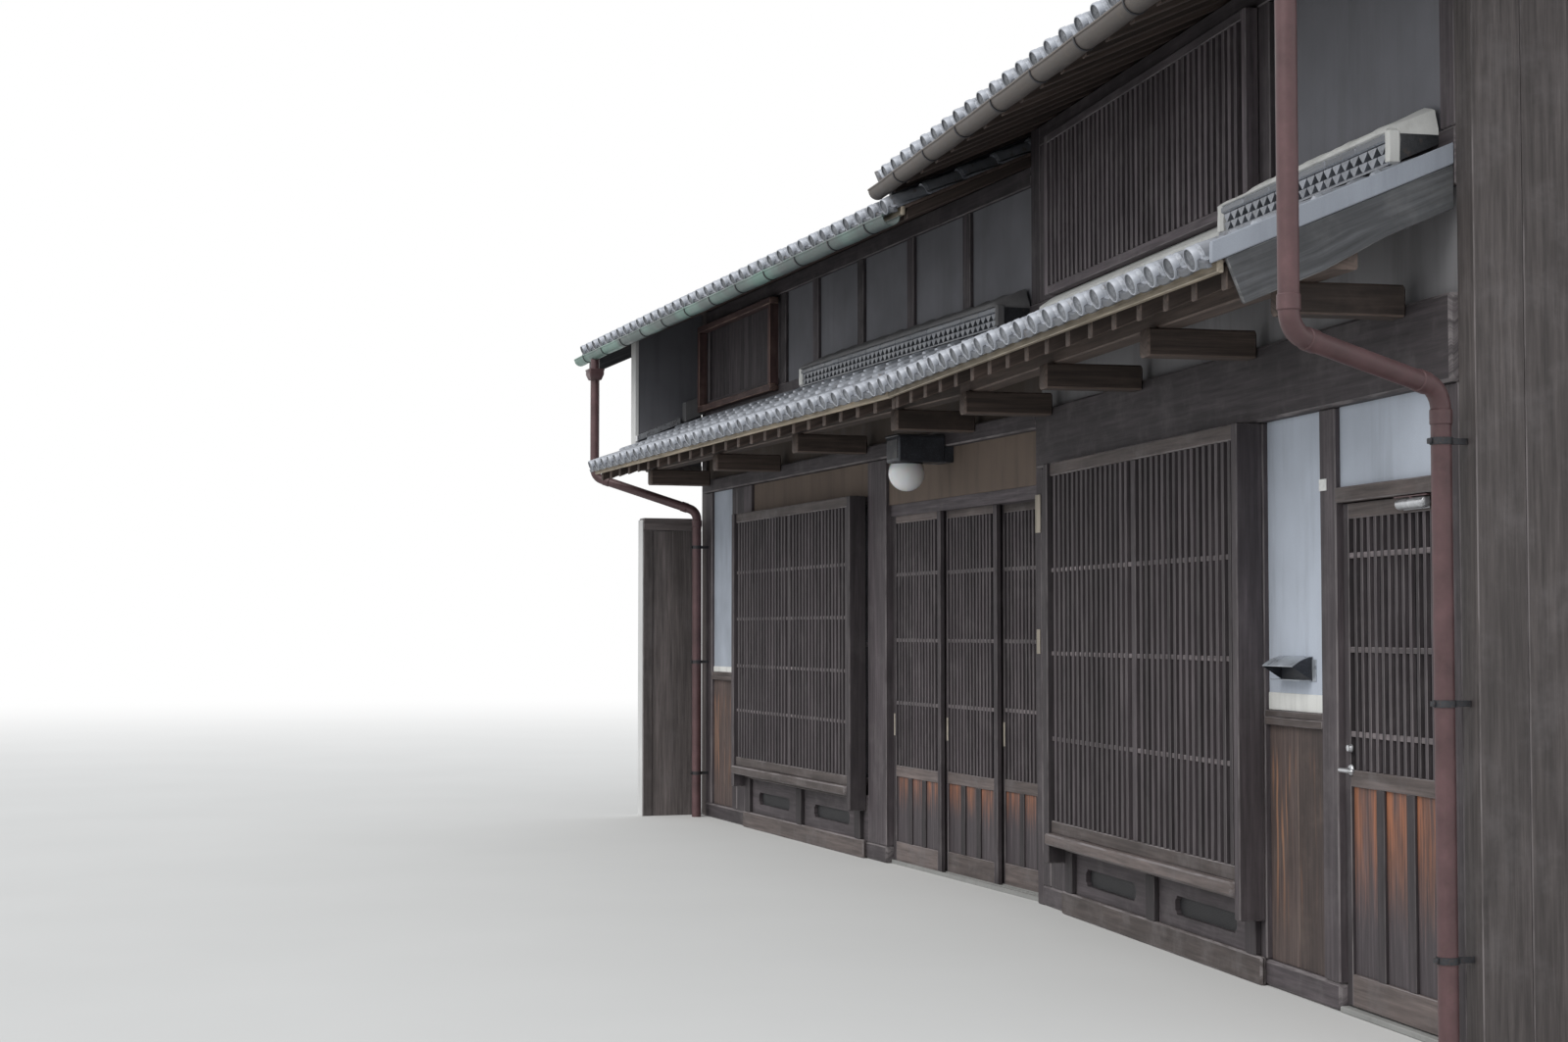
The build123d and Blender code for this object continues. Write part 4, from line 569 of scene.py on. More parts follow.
def timber_finish(name, colour, worn, contrast=1.0, dust=0.35, figure=None):
    """Weathered timber: streaks along the grain, broad darker patches and worn pale edges.

    The streaks are noise stretched twenty times along the grain, each timber has its own
    slice of it, and the wear shows on the chamfers and ends where a second noise is high.
    A figure adds flame-like streaks of that colour: a sine across the grain, bent by noise,
    where a third noise is high and, by the height u, away from the board's two ends.
    """
    f = Finish(name)
    streak = f.noise(f.grain((2.2, 46.0)), 1.0, 6.0, 0.68)
    patch = f.noise(f.grain((0.9, 5.0)), 1.0, 3.0, 0.6)
    pores = f.noise(f.grain((9.0, 240.0)), 1.0, 3.0, 0.6)
    low, high = 0.5 - 0.17 * contrast, 0.5 + 0.2 * contrast
    base = f.shades(streak, colour, (0.30, 0.42), (0.46, 0.80), (0.58, 1.15), (0.74, 1.75))
    base = f.blend(f.range(patch, low, high, 0.55, 0.0), base, scaled(colour, 0.45))
    if figure is not None:
        wave = {"Vector": f.grain((1.5, 6.5), 3.0), "Scale": 1.0, "Distortion": 7.0, "Detail": 3.0}
        bands = f.node("TexWave", wave, bands_direction="Y").outputs["Fac"]
        height = f.split(f.chart())[0]
        ends = f.times(f.range(height, 0.15, 0.60), f.range(height, 1.04, 0.90))
        flames = f.times(ends, f.range(f.noise(f.grain((0.8, 8.0), 11.0), 1.0, 2.0), 0.46, 0.60))
        base = f.blend(f.times(flames, f.range(bands, 0.50, 0.95)), base, figure)
    tint = f.range(f.tone("tone"), 0.0, 1.0, 0.72, 1.30)
    tint = f.first("CombineColor", {0: tint, 1: tint, 2: tint})
    base = f.blend(1.0, base, tint, "MULTIPLY")
    rubbed = f.noise(f.grain((3.0, 30.0), 3.0), 1.0, 3.0, 0.7)
    share = f.times(f.tone("wear_and_highlight"), f.range(rubbed, 0.36, 0.62, 0.10, dust + 0.45))
    base = f.blend(share, base, worn)
    dusty = f.noise(f.place(), 5.0, 4.0, 0.65)
    base = f.blend(f.range(dusty, 0.45, 0.75, 0.0, dust), base, scaled(worn, 0.75))
    return f.surface(base, 0.74, f.bump(pores, 0.30, 0.0007, f.bump(streak, 0.55, 0.0022)))


def glowing_boards(name, dark, bright, foot, head):
    """Door boards: orange grain under the rail that fades to dark weathered wood at the foot.

    The UVs run up the board in metres, so the fade is a smooth step on u between foot and
    head, broken up by streaks of noise.
    """
    f = Finish(name)
    grain = f.grain((2.6, 60.0), 9.0)
    streak = f.noise(grain, 1.0, 6.0, 0.7)
    wide = f.noise(f.grain((1.6, 14.0), 5.0), 1.0, 3.0, 0.6)
    height = f.split(f.chart())[0]
    ragged = f.sum("ADD", height, f.times(f.sum("SUBTRACT", streak, 0.5), 0.45))
    rise = f.range(ragged, foot, head)
    lit = f.times(rise, f.range(wide, 0.34, 0.62, 0.15, 1.0))
    old = f.shades(streak, dark, (0.3, 0.5), (0.55, 1.0), (0.75, 2.0))
    new = f.shades(streak, bright, (0.3, 0.4), (0.5, 1.0), (0.72, 1.6))
    base = f.blend(lit, old, new)
    return f.surface(base, 0.68, f.bump(streak, 0.6, 0.0020))


def tile_finish(name, colour, spread=1.0, crest=False):
    """Smoked clay tiles: silver grey, each tile a little different, with dark and rusty spots.

    With a crest, u counts the tiles, and each is paler on its roll, a painted highlight with
    weathering, and darker in its pan, painted shade with dirt.
    """
    f = Finish(name)
    place = f.place()
    cloud = f.noise(place, 9.0, 5.0, 0.62)
    fine = f.noise(place, 75.0, 4.0, 0.7)
    low, high = 1.0 - 0.40 * spread, 1.0 + 0.55 * spread
    base = f.shades(f.tone("tone"), colour, (0.0, low), (0.35, 0.82), (0.75, 1.15), (1.0, high))
    base = f.blend(f.range(cloud, 0.36, 0.66, 0.55, 0.0), base, scaled(colour, 0.45))
    if crest:
        across = f.sum("FRACT", f.split(f.chart())[0], 0.0)
        aside = f.sum("ABSOLUTE", f.sum("SUBTRACT", across, 0.5), 0.0)
        # Painted highlight with weathering: the middle of each tile, its roll, is made paler.
        base = f.blend(f.range(aside, 0.06, 0.20, 0.55, 0.0), base, scaled(colour, 1.9))
        # Painted shade with dirt: the pans at each tile's sides are made darker.
        base = f.blend(f.range(aside, 0.24, 0.38, 0.0, 0.5), base, scaled(colour, 0.5))
    rust = f.range(f.noise(place, 23.0, 3.0, 0.6), 0.60, 0.72, 0.0, 0.55)
    base = f.blend(rust, base, (0.12, 0.085, 0.06))
    # Painted highlight: the marked lower edges of the tile courses turn paler.
    lip = f.times(f.tone("wear_and_highlight"), f.range(fine, 0.3, 0.65, 0.15, 0.7))
    base = f.blend(lip, base, scaled(colour, 2.1))
    rough = f.range(cloud, 0.3, 0.7, 0.30, 0.52)
    return f.surface(base, rough, f.bump(fine, 0.35, 0.0012, f.bump(cloud, 0.25, 0.004)), Metallic=0.25)


def eave_disc_finish(name, colour):
    """An eave disc: a raised rim, a ring of beads and three comma shapes that turn round.

    On the UVs, u is the angle and v the way out from the middle. The commas are a sine of
    three times the angle plus a turn with v, cut off at half the radius, and the beads
    are a sine of sixteen times the angle in a ring near the rim.
    """
    f = Finish(name)
    angle, out = f.split(f.chart())[:2]
    turn = f.sum("ADD", f.times(angle, 3.0), f.times(out, 4.5))
    comma = f.range(f.sum("SINE", turn, 0.0), -0.1, 0.3)
    comma = f.times(comma, f.range(out, 0.56, 0.50))
    beads = f.range(f.sum("SINE", f.times(angle, 16.0), 0.0), 0.0, 0.5)
    ring = f.times(f.range(out, 0.60, 0.64), f.range(out, 0.80, 0.76))
    height = f.sum("ADD", comma, f.times(beads, ring))
    cloud = f.noise(f.place(), 30.0, 4.0, 0.6)
    base = f.shades(f.tone("tone"), colour, (0.0, 0.6), (1.0, 1.35))
    # Painted shade: the low ground between the raised commas and beads is made darker.
    base = f.blend(f.range(height, 0.0, 1.0, 0.5, 0.0), base, scaled(colour, 0.4))
    base = f.blend(f.range(cloud, 0.4, 0.65, 0.4, 0.0), base, scaled(colour, 0.5))
    # Painted highlight: the rim, from 0.84 of the radius outwards, is made paler.
    base = f.blend(f.range(out, 0.84, 0.88, 0.0, 0.8), base, scaled(colour, 1.9))
    return f.surface(base, 0.42, f.bump(height, 0.8, 0.004), Metallic=0.2)


def plaster_finish(name, colour, stain, coarse=1.0, other=None):
    """Trowelled plaster: broad waves, fine grit, and stains that hang down from the top.

    With another colour, that one takes over on the left wing, where x is below nought: a darker copy, as
    painted shade.
    """
    f = Finish(name)
    place = f.place()
    wave = f.noise(place, 2.4, 3.0, 0.5)
    grit = f.noise(place, 190.0, 3.0, 0.6)
    drawn = f.first("VectorMath", {0: place, 1: (6.0, 6.0, 0.7)}, operation="MULTIPLY")
    run = f.noise(drawn, 1.6, 4.0, 0.6)
    base = f.shades(wave, colour, (0.3, 0.88), (0.7, 1.08))
    if other is not None:
        # Painted shade: the left wing, where x is below nought, takes the other, darker colour.
        wing = f.range(f.split(place)[0], -0.01, 0.01)
        left_wing_shade = f.shades(wave, other, (0.3, 0.8), (0.7, 1.15))
        base = f.blend(wing, left_wing_shade, base)
    base = f.blend(f.range(run, 0.46, 0.72, 0.0, 0.32), base, stain)
    base = f.blend(f.range(grit, 0.35, 0.7, 0.10, 0.0), base, scaled(colour, 0.5))
    return f.surface(base, 0.88, f.bump(grit, 0.35, 0.0012 * coarse, f.bump(wave, 0.25, 0.01 * coarse)))


def metal_finish(name, colour, spot, roughness, metallic, scale=16.0, patch=None):
    """Painted or aged sheet metal with cloudy spots, and with broad patches if one is named."""
    f = Finish(name)
    cloud = f.noise(f.place(), scale, 5.0, 0.65)
    fine = f.noise(f.place(), scale * 9, 3.0, 0.6)
    base = f.shades(cloud, colour, (0.32, 0.72), (0.55, 1.0), (0.72, 1.3))
    base = f.blend(f.range(fine, 0.52, 0.70, 0.0, 0.45), base, spot)
    if patch is not None:
        base = f.blend(f.range(f.noise(f.place(), 1.3, 3.0, 0.55), 0.44, 0.62, 0.0, 0.8), base, patch)
    rough = f.range(cloud, 0.3, 0.7, roughness - 0.08, roughness + 0.12)
    return f.surface(base, rough, f.bump(fine, 0.2, 0.0006), Metallic=metallic)


def glass_finish(name, colour):
    """Old window glass in front of a dark room: deep, glossy and slightly wavy."""
    f = Finish(name)
    wave = f.noise(f.place(), 3.5, 2.0, 0.5)
    base = f.shades(wave, colour, (0.3, 0.6), (0.7, 1.5))
    return f.surface(base, 0.14, f.bump(wave, 0.12, 0.004), Coat_Weight=0.4)


def lamp_glass(name, colour):
    """An opal globe: milky, smooth and a little see-through to light."""
    f = Finish(name)
    cloud = f.noise(f.place(), 9.0, 2.0, 0.5)
    base = f.shades(cloud, colour, (0.3, 0.94), (0.7, 1.0))
    return f.surface(base, 0.22, None, Subsurface_Weight=0.25, Coat_Weight=0.3)


def mesh_finish(name, colour):
    """Fine wire mesh: two sets of thin lines crossing, pale wires over a dark ground."""
    f = Finish(name)
    wires = []
    for part in f.split(f.chart())[:2]:
        wave = f.sum("SINE", f.times(part, 900.0), 0.0)
        wires.append(f.range(wave, 0.35, 0.75))
    grid = f.sum("MAXIMUM", wires[0], wires[1])
    base = f.blend(grid, scaled(colour, 0.25), colour)
    return f.surface(base, 0.6, f.bump(grid, 0.5, 0.001), Metallic=0.3)


def mix_finishes(settings):
    """Make every finish of the house from the user's colours."""
    timber, tiles, walls, fittings = settings.timber, settings.tiles, settings.walls, settings.fittings
    dark, worn, smoked = tuple(timber.dark), tuple(timber.worn), tuple(tiles.colour)
    # Darker copies of the panel, upper and clay colours: painted shade on the left wing.
    other = scaled(walls.panel, 0.76), scaled(walls.upper, 0.82), scaled(walls.clay, 0.55)

    def mix(make, *rows):
        """One finish of a kind for each row of a name and its values."""
        for name, *values in rows:
            finishes[name] = make(name, *values)

    mix(
        timber_finish,
        ("frame", dark, worn, 1.0, 0.28),
        ("rail", timber.rail, scaled(worn, 1.15), 0.6, 0.2),
        ("bars", scaled(dark, 0.92), scaled(worn, 0.85), 1.0, 0.16),
        ("grille", scaled(dark, 1.75), scaled(worn, 1.2), 1.3),
        ("deep", scaled(dark, 0.55), scaled(worn, 0.6), 1.0, 0.15),
        ("sill", timber.sill, worn, 1.0, 0.45),
        ("eave", timber.eave, scaled(timber.eave, 1.9)),
        ("eave board", (0.42, 0.35, 0.26), (0.55, 0.49, 0.40), 0.7),
        ("red", timber.shutter, (0.30, 0.20, 0.16)),
        ("siding", timber.siding, scaled(worn, 0.9), 1.3),
        ("weathered", (0.085, 0.088, 0.095), (0.22, 0.22, 0.22)),
        ("plate", (0.50, 0.44, 0.36), (0.65, 0.60, 0.52)),
        ("dado", timber.dado, (0.20, 0.15, 0.125), 1.4, 0.3, (0.24, 0.125, 0.075)),
    )
    mix(
        glowing_boards,
        ("glow", scaled(dark, 0.9), timber.glow, 0.34, 0.62),
        ("side glow", scaled(dark, 0.9), timber.glow, 0.32, 0.82),
    )
    mix(
        tile_finish,
        ("tile", smoked),
        ("roof tile", smoked, 1.0, True),
        # eave tile: the smoked colour darkened, painted shade on the eave tiles' fronts and the left wing's
        # band.
        ("eave tile", scaled(smoked, 0.62), 0.5),
        ("shaded tile", scaled(smoked, 0.14), 0.5),
    )
    mix(
        plaster_finish,
        ("skirt", (0.30, 0.325, 0.37), (0.16, 0.17, 0.20), 0.7),
        # A darker copy of the mortar: painted shade on the left wing's band and on the corner by the sleeve.
        ("old mortar", (0.150, 0.148, 0.150), (0.07, 0.07, 0.075), 2.0),
        # infill: plaster darkened by painted shade under the pent roof; on the left wing the clay's darker
        # copy, painted shade.
        ("infill", walls.infill, (0.12, 0.11, 0.11), 1.0, other[2]),
        # sleeve: the upper plaster darkened, painted shade on the sleeve wall.
        ("sleeve", scaled(walls.upper, 0.62), (0.07, 0.07, 0.075)),
        ("mortar", (0.74, 0.74, 0.71), (0.30, 0.29, 0.27), 1.6),
        ("plaster", walls.panel, (0.26, 0.28, 0.32), 1.0, other[0]),
        ("grey plaster", walls.upper, (0.12, 0.12, 0.125), 1.0, other[1]),
        ("pale plaster", walls.pale, (0.40, 0.40, 0.40)),
        ("clay", walls.clay, (0.05, 0.04, 0.035), 1.4),
        ("threshold stone", (0.28, 0.28, 0.27), (0.15, 0.15, 0.14)),
    )
    mix(
        metal_finish,
        ("lamp", (0.040, 0.043, 0.052), (0.10, 0.11, 0.13), 0.42, 0.3),
        ("green copper", fittings.left_gutter, (0.12, 0.24, 0.20), 0.42, 0.3, 7.0, (0.17, 0.29, 0.245)),
        ("grey copper", fittings.right_gutter, (0.06, 0.05, 0.045), 0.5, 0.4),
        ("pipe", fittings.pipe, (0.10, 0.06, 0.055), 0.42, 0.15, 7.0),
        ("iron", (0.05, 0.052, 0.058), (0.13, 0.08, 0.06), 0.5, 0.6),
        ("hood", (0.40, 0.43, 0.47), (0.44, 0.47, 0.51), 0.34, 0.25, 9.0),
        ("silver", (0.60, 0.61, 0.63), (0.40, 0.40, 0.42), 0.30, 0.75),
        ("white", (0.82, 0.82, 0.80), (0.60, 0.60, 0.58), 0.4, 0.0),
        ("brass", (0.66, 0.60, 0.50), (0.42, 0.38, 0.32), 0.38, 0.1),
    )
    mix(eave_disc_finish, ("disc", scaled(smoked, 1.05)))
    mix(glass_finish, ("glass", (0.022, 0.024, 0.028)))
    mix(lamp_glass, ("opal", (0.86, 0.87, 0.88)))
    mix(mesh_finish, ("mesh", (0.040, 0.040, 0.044)))


def colour_choice(name, things, default):
    """A colour that the user can change."""
    return FloatVectorProperty(
        name=name, description=f"Colour of the {things}", default=default,
        subtype="COLOR", size=3, min=0.0, max=1.0,
    )


def strength_choice(name, description, default, low=0.0):
    """A plain number that the user can change."""
    return FloatProperty(name=name, description=description, default=default, min=low)


def group_choice(name, description, kind):
    """A group of choices."""
    return PointerProperty(name=name, description=description, type=kind)


def length_choice(name, description, default, low=0.0, high=1.0):
    """A length that the user can change."""
    return FloatProperty(
        name=name, description=description, default=default, min=low, max=high,
        subtype="DISTANCE", unit="LENGTH", precision=4,
    )


class TimberChoices(bpy.types.PropertyGroup):
    """Sizes and colours of the timber frame, the lattices and the boards."""

    chamfer: length_choice("Chamfer", "How much is cut off the timbers' corners", 0.006, 0.0, 0.02)
    bar_chamfer: length_choice("Bar chamfer", "How much is cut off the bars' corners", 0.002, 0.0, 0.01)
    bow: length_choice("Bow", "How far a timber wanders off a straight line", 0.0015, 0.0, 0.01)
    dark: colour_choice("Frame", "dark frame and lattices", (0.073, 0.060, 0.066))
    sill: colour_choice("Sills", "sills and rails", (0.115, 0.092, 0.086))
    rail: colour_choice("Rails", "rails that cross the lattice bars", (0.150, 0.128, 0.132))
    worn: colour_choice("Worn edges", "rubbed edges and the dust", (0.225, 0.203, 0.205))
    eave: colour_choice("Eaves", "rafters, decks and arms", (0.085, 0.062, 0.052))
    glow: colour_choice("Door boards", "sheltered boards of the doors", (0.27, 0.105, 0.052))
    dado: colour_choice("Dados", "boards under the plaster panels", (0.092, 0.066, 0.060))
    shutter: colour_choice("Shutter frame", "upper window's frame", (0.075, 0.040, 0.038))
    siding: colour_choice("Siding", "boards on the sides and the back", (0.120, 0.103, 0.100))


class TileChoices(bpy.types.PropertyGroup):
    """Sizes and colour of the roof tiles."""

    course: length_choice("Course", "Length of a tile that shows", 0.235, 0.1, 0.5)
    step: length_choice("Step", "How far each course stands over the one below", 0.016, 0.0, 0.05)
    sag: length_choice("Sag", "How far the pans dip between the rolls", 0.012, 0.0, 0.024)
    colour: colour_choice("Tile colour", "smoked tiles", (0.235, 0.248, 0.275))
    disc: length_choice("Disc radius", "Radius of the discs at the eaves", 0.046, 0.02, 0.06)
    lip: length_choice("Lip", "How far the eave tiles' front hangs down between the discs", 0.027, 0.0, 0.08)


class WallChoices(bpy.types.PropertyGroup):
    """Colours of the plaster and the clay."""

    panel: colour_choice("Panels", "plaster panels", (0.50, 0.545, 0.62))
    upper: colour_choice("Upper walls", "grey upper plaster", (0.205, 0.205, 0.225))
    pale: colour_choice("End plaster", "pale plaster at the ends", (0.62, 0.62, 0.61))
    # The infill is plaster darkened by painted shade under the pent roof.
    infill: colour_choice("Infill", "plaster between the pent arms", (0.27, 0.265, 0.275))
    clay: colour_choice("Clay", "clay walls", (0.150, 0.112, 0.088))


class FittingChoices(bpy.types.PropertyGroup):
    """Colours and sizes of the gutters and the downspouts."""

    left_gutter: colour_choice("Left gutter", "left gutter", (0.105, 0.130, 0.125))
    right_gutter: colour_choice("Right gutter", "right gutter", (0.130, 0.112, 0.100))
    pipe: colour_choice("Downspouts", "downspouts", (0.104, 0.055, 0.058))
    bead: length_choice("Gutter bead", "Radius of the rolled edge of the gutters", 0.008, 0.0, 0.02)
    gutter_sag: length_choice("Gutter sag", "How far the gutters dip between their hooks", 0.003, 0.0, 0.02)


class StageChoices(bpy.types.PropertyGroup):
    """The camera, the light and the floor."""

    lens: strength_choice("Lens", "Focal length of the camera in millimetres", 54.0, 10.0)
    sky: strength_choice("Sky", "Strength of the soft light from all round", 0.82)
    lamp: strength_choice("Soft lamp", "Strength of the broad lamp from above", 1.7)
    floor: colour_choice("Floor", "floor", (0.62, 0.62, 0.61))


class HouseChoices(bpy.types.PropertyGroup):
    """Everything that can be changed."""

    timber: group_choice("Timber", "The timber frame and boards", TimberChoices)
    tiles: group_choice("Tiles", "The roof tiles", TileChoices)
    walls: group_choice("Walls", "Plaster and clay", WallChoices)
    fittings: group_choice("Fittings", "Gutters and downspouts", FittingChoices)
    stage: group_choice("Stage", "Camera, light and floor", StageChoices)


def choices():
    """The user's sizes and colours."""
    return bpy.context.scene.townhouse


def repaint(node_finishes):
    """Give CAD nodes their finishes, without touching their shape."""
    for node, finish in node_finishes.items():
        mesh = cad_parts[node].data
        mesh.materials.clear()
        mesh.materials.append(finishes[finish])


class FrontFrame(bpy.types.Operator):
    """Posts, ground beams and head beams of both wings, with the entry's jambs"""

    bl_idname = "townhouse.front_frame"
    bl_label = "Front frame"

    def execute(self, context):
        timber = choices().timber
        chamfer, bow = timber.chamfer, timber.bow
        posts = Shell(RIGHT)
        levels, boards = (GROUND_BEAM, HEAD_BEAM), ((0.004, 0.12), (0.002, 0.12))
        right = ((0.0, 0.125), (RIGHT_WINDOW[1], RIGHT_PANEL[0]), (RIGHT_PANEL[1], SIDE_DOOR[0]))
        posts.timbers(right, POST, levels, Z, chamfer, bow)
        posts.timbers((SIDE_DOOR[1], RIGHT_END), POST, (0, HEAD_BEAM), Z, chamfer, bow)
        posts.timbers(((0.127, 0.316), (0.318, RIGHT_WINDOW[0])), boards, levels, Z)
        posts.wing, levels = LEFT, (GROUND_BEAM, LEFT_BEAM)
        left = ((LEFT_END, LEFT_PANEL[0]), (LEFT_PANEL[1], -5.64), (LEFT_WINDOW[1], ENTRY[0]))
        posts.timbers(left, POST, levels, Z, chamfer, bow)
        posts.timbers(((-5.638, -5.455), (-5.453, LEFT_WINDOW[0])), boards, levels, Z)
        posts.timbers((ENTRY[1], 0.0), POST, (0, LEFT_BEAM), Z, chamfer, bow)
        posts.piece("posts", "frame", "front_posts")

        beams = Shell()
        beams.timbers((LEFT_END, ENTRY[0]), POST, (0, GROUND_BEAM), X, 0.012, bow)
        beams.wing, beams.trim = RIGHT, 0.0
        beams.timbers((PAST_BEND, SIDE_DOOR[0]), POST, (0, GROUND_BEAM), X, 0.012, bow)
        beams.piece("ground_beams", "frame", "ground_beams")

        for title, wing, span, foot, cut in (
            ("left", LEFT, (LEFT_END, 0.0), LEFT_BEAM, 0.010),
            ("right", RIGHT, (PAST_BEND, RIGHT_END), HEAD_BEAM, 0.012),
        ):
            head = Shell(wing, 0.0)
            head.timbers(span, BEAM_FACE, (foot, BEAM_TOP), X, cut, bow)
            head.piece(f"{title}_head_beam", "frame", f"head_beam_{title}")

        jambs = Shell()
        jambs.timbers(((ENTRY[1], 0.0), (-2.47, ENTRY[0])), (0.12, FRAME_BACK), (0, 2.30), Z, 0.004, bow)
        jambs.piece("entry_jambs", "deep", "entry_jambs")
        return {"FINISHED"}


def lattice(shell, span, front, levels, count, rails, chamfer, let_in=0.007):
    """Upright bars in a span and the flat rails let into them that far behind their fronts."""
    shell.timbers(standing(between(span, count), 0.030), (front, front + 0.036), levels, Z, chamfer, 0.0008)
    y = (front + let_in, front + let_in + 0.014)
    shell.timbers(span, y, standing(rails, RAIL), X, chamfer, 0.0008, slot=1)


class LatticeWindows(bpy.types.Operator):
    """The two projecting lattice windows and the glazed sashes behind them"""

    bl_idname = "townhouse.lattice_windows"
    bl_label = "Lattice windows"

    def execute(self, context):
        timber = choices().timber
        for title, wing, span, sill, bars, rails in (
            ("left", LEFT, LEFT_LATTICE, LEFT_SILL, 17, (0.888, 1.224, 1.578, 1.930)),
            ("right", RIGHT, RIGHT_LATTICE, RIGHT_SILL, 16, (0.924, 1.373, 1.812)),
        ):
            box, clear = (-0.10, 0.0), (sill + 0.065, 2.31)
            inner, sides = framed(span, LATTICE_FRAME)
            middle = about(sum(span) / 2, LATTICE_FRAME)
            window = Shell(wing)
            window.timbers(sides, (-0.12, 0.0), (sill - 0.16, HEAD_BEAM), Z, timber.chamfer)
            window.timbers(middle, box, clear, Z)
            window.timbers(inner, box, (clear[1], HEAD_BEAM), X, timber.chamfer, slot=2)
            window.timbers(inner, (-0.14, 0.0), (sill - SILL, sill), X, 0.009, slot=2)
            window.timbers(inner, box, (sill, clear[0]), X, 0.005, slot=2)
            for bay in ((inner[0], middle[0]), (middle[1], inner[1])):
                lattice(window, bay, box[0], clear, bars, rails, timber.bar_chamfer)
            window.piece(f"{title}_lattice_window", "bars, rail, sill", f"lattice_window_{title}")

        sashes = Shell()
        face = (0.06, 0.09)
        for sashes.wing, span, sill in ((LEFT, LEFT_WINDOW, LEFT_SILL), (RIGHT, RIGHT_WINDOW, RIGHT_SILL)):
            foot, head = (sill, sill + STILE), (HEAD_BEAM - STILE, HEAD_BEAM)
            lights = [framed(light, STILE) for light in parts_of(span, (span[1] - span[0]) / 4)]
            inner = [light for light, stiles in lights]
            uprights = [x for light, stiles in lights for x in stiles]
            sashes.timbers(uprights, face, (sill, HEAD_BEAM), Z, 0.003, 0.0005)
            rails = (foot, head, about(1.4, 0.03)) * len(lights)
            sashes.slab(np.repeat(inner, 3, axis=0), face, rails, X, 0.003)
            sashes.slab(inner, (0.0725, 0.0775), (foot[1], head[0]), Z, 0.0005, 1)
            sashes.timbers(parts_of(span, 0.21), face, (GROUND_BEAM, sill), Z, 0.003, 0.0005)
        sashes.piece("window_sashes", "deep, glass", "window_sashes")
        return {"FINISHED"}


def slotted_panel(shell, bay, levels, middle, slot_size, cusp, y):
    """A board with one cusped slot cut through it.

    The slot's outline is a rectangle whose corners are bitten off by quarter circles about
    the corners themselves. Each of its points is joined to the point of the board's own
    edge that lies at the same share of the way round, in front and behind, so the rings
    run round the slot: board edge, slot, slot behind, board edge behind.
    """
    half = np.array(slot_size) / 2
    turn = np.linspace(0, 1, 7)
    bite = cusp / half
    edge_x = np.where(turn <= 0.5, 1 - bite[0] * (1 - 2 * turn), 1.0)
    edge_z = np.where(turn <= 0.5, 1.0, 1 - bite[1] * (2 * turn - 1))

    def all_round(quarter):
        """A quarter's points and the same turned into the other three quarters."""
        turned = quarter[::-1]
        return np.concatenate([quarter, turned * (1, -1), -quarter, turned * (-1, 1)])

    inner = all_round(half - cusp * arc(0, math.pi / 2, 7))
    outer = all_round(np.stack([edge_x, edge_z], axis=-1)) * ((bay[1] - bay[0]) / 2, 1.0)
    outer[:, 1] *= np.where(outer[:, 1] > 0, levels[1] - middle, middle - levels[0])
    rings = []
    for loop, depth in ((outer, y[0]), (inner, y[0]), (inner, y[1]), (outer, y[1])):
        x, z = (loop + (sum(bay) / 2, middle)).T
        rings.append(np.stack([x, np.full(len(x), depth), z], axis=-1))
    shell.ring(np.stack(rings, axis=1))


class VentBases(bpy.types.Operator):
    """Slotted vent panels in their frames under the two lattice windows"""

    bl_idname = "townhouse.vent_bases"
    bl_label = "Vent bases"

    def execute(self, context):
        thick, proud, stile = (0.0, 0.024), (-0.028, 0.0), 0.11
        for title, wing, span, window, top, level in (
            ("left", LEFT, LEFT_LATTICE, LEFT_WINDOW, LEFT_SILL - SILL, 0.237),
            ("right", RIGHT, RIGHT_LATTICE, RIGHT_WINDOW, RIGHT_SILL - SILL, 0.222),
        ):
            base = Shell(wing)
            inner, middle = framed(span, LATTICE_FRAME)[0], sum(span) / 2
            levels = (GROUND_BEAM, top)
            for bay, edge in (((window[0], middle), inner[0]), ((middle, window[1]), inner[1])):
                centre = (edge + middle) / 2
                half = min(0.55, centre - bay[0], bay[1] - centre)
                panel = (centre - half, centre + half)
                slotted_panel(base, panel, levels, level, (0.72, 0.088), 0.020, thick)
                for rest in ((bay[0], panel[0]), (panel[1], bay[1])):
                    if rest[1] - rest[0] > 0.002:
                        base.slab(rest, thick, levels, X, 0.001)
                net = (thick[1], 0.030), about(level, 0.13)
                base.slab(about(centre, 0.78), *net, X, 0.0005, 3)
            base.timbers(span, proud, (0.0, 0.12), X, 0.008, slot=1)
            base.timbers(inner, proud, (top - 0.035, top), X, slot=1)
            stiles = ((inner[0], inner[0] + stile), about(middle, stile), (inner[1] - stile, inner[1]))
            base.timbers(stiles, proud, (0.12, top - 0.035), Z, slot=2)
            base.piece(f"{title}_vent_base", "frame, sill, deep, mesh", f"lattice_base_{title}")
        return {"FINISHED"}


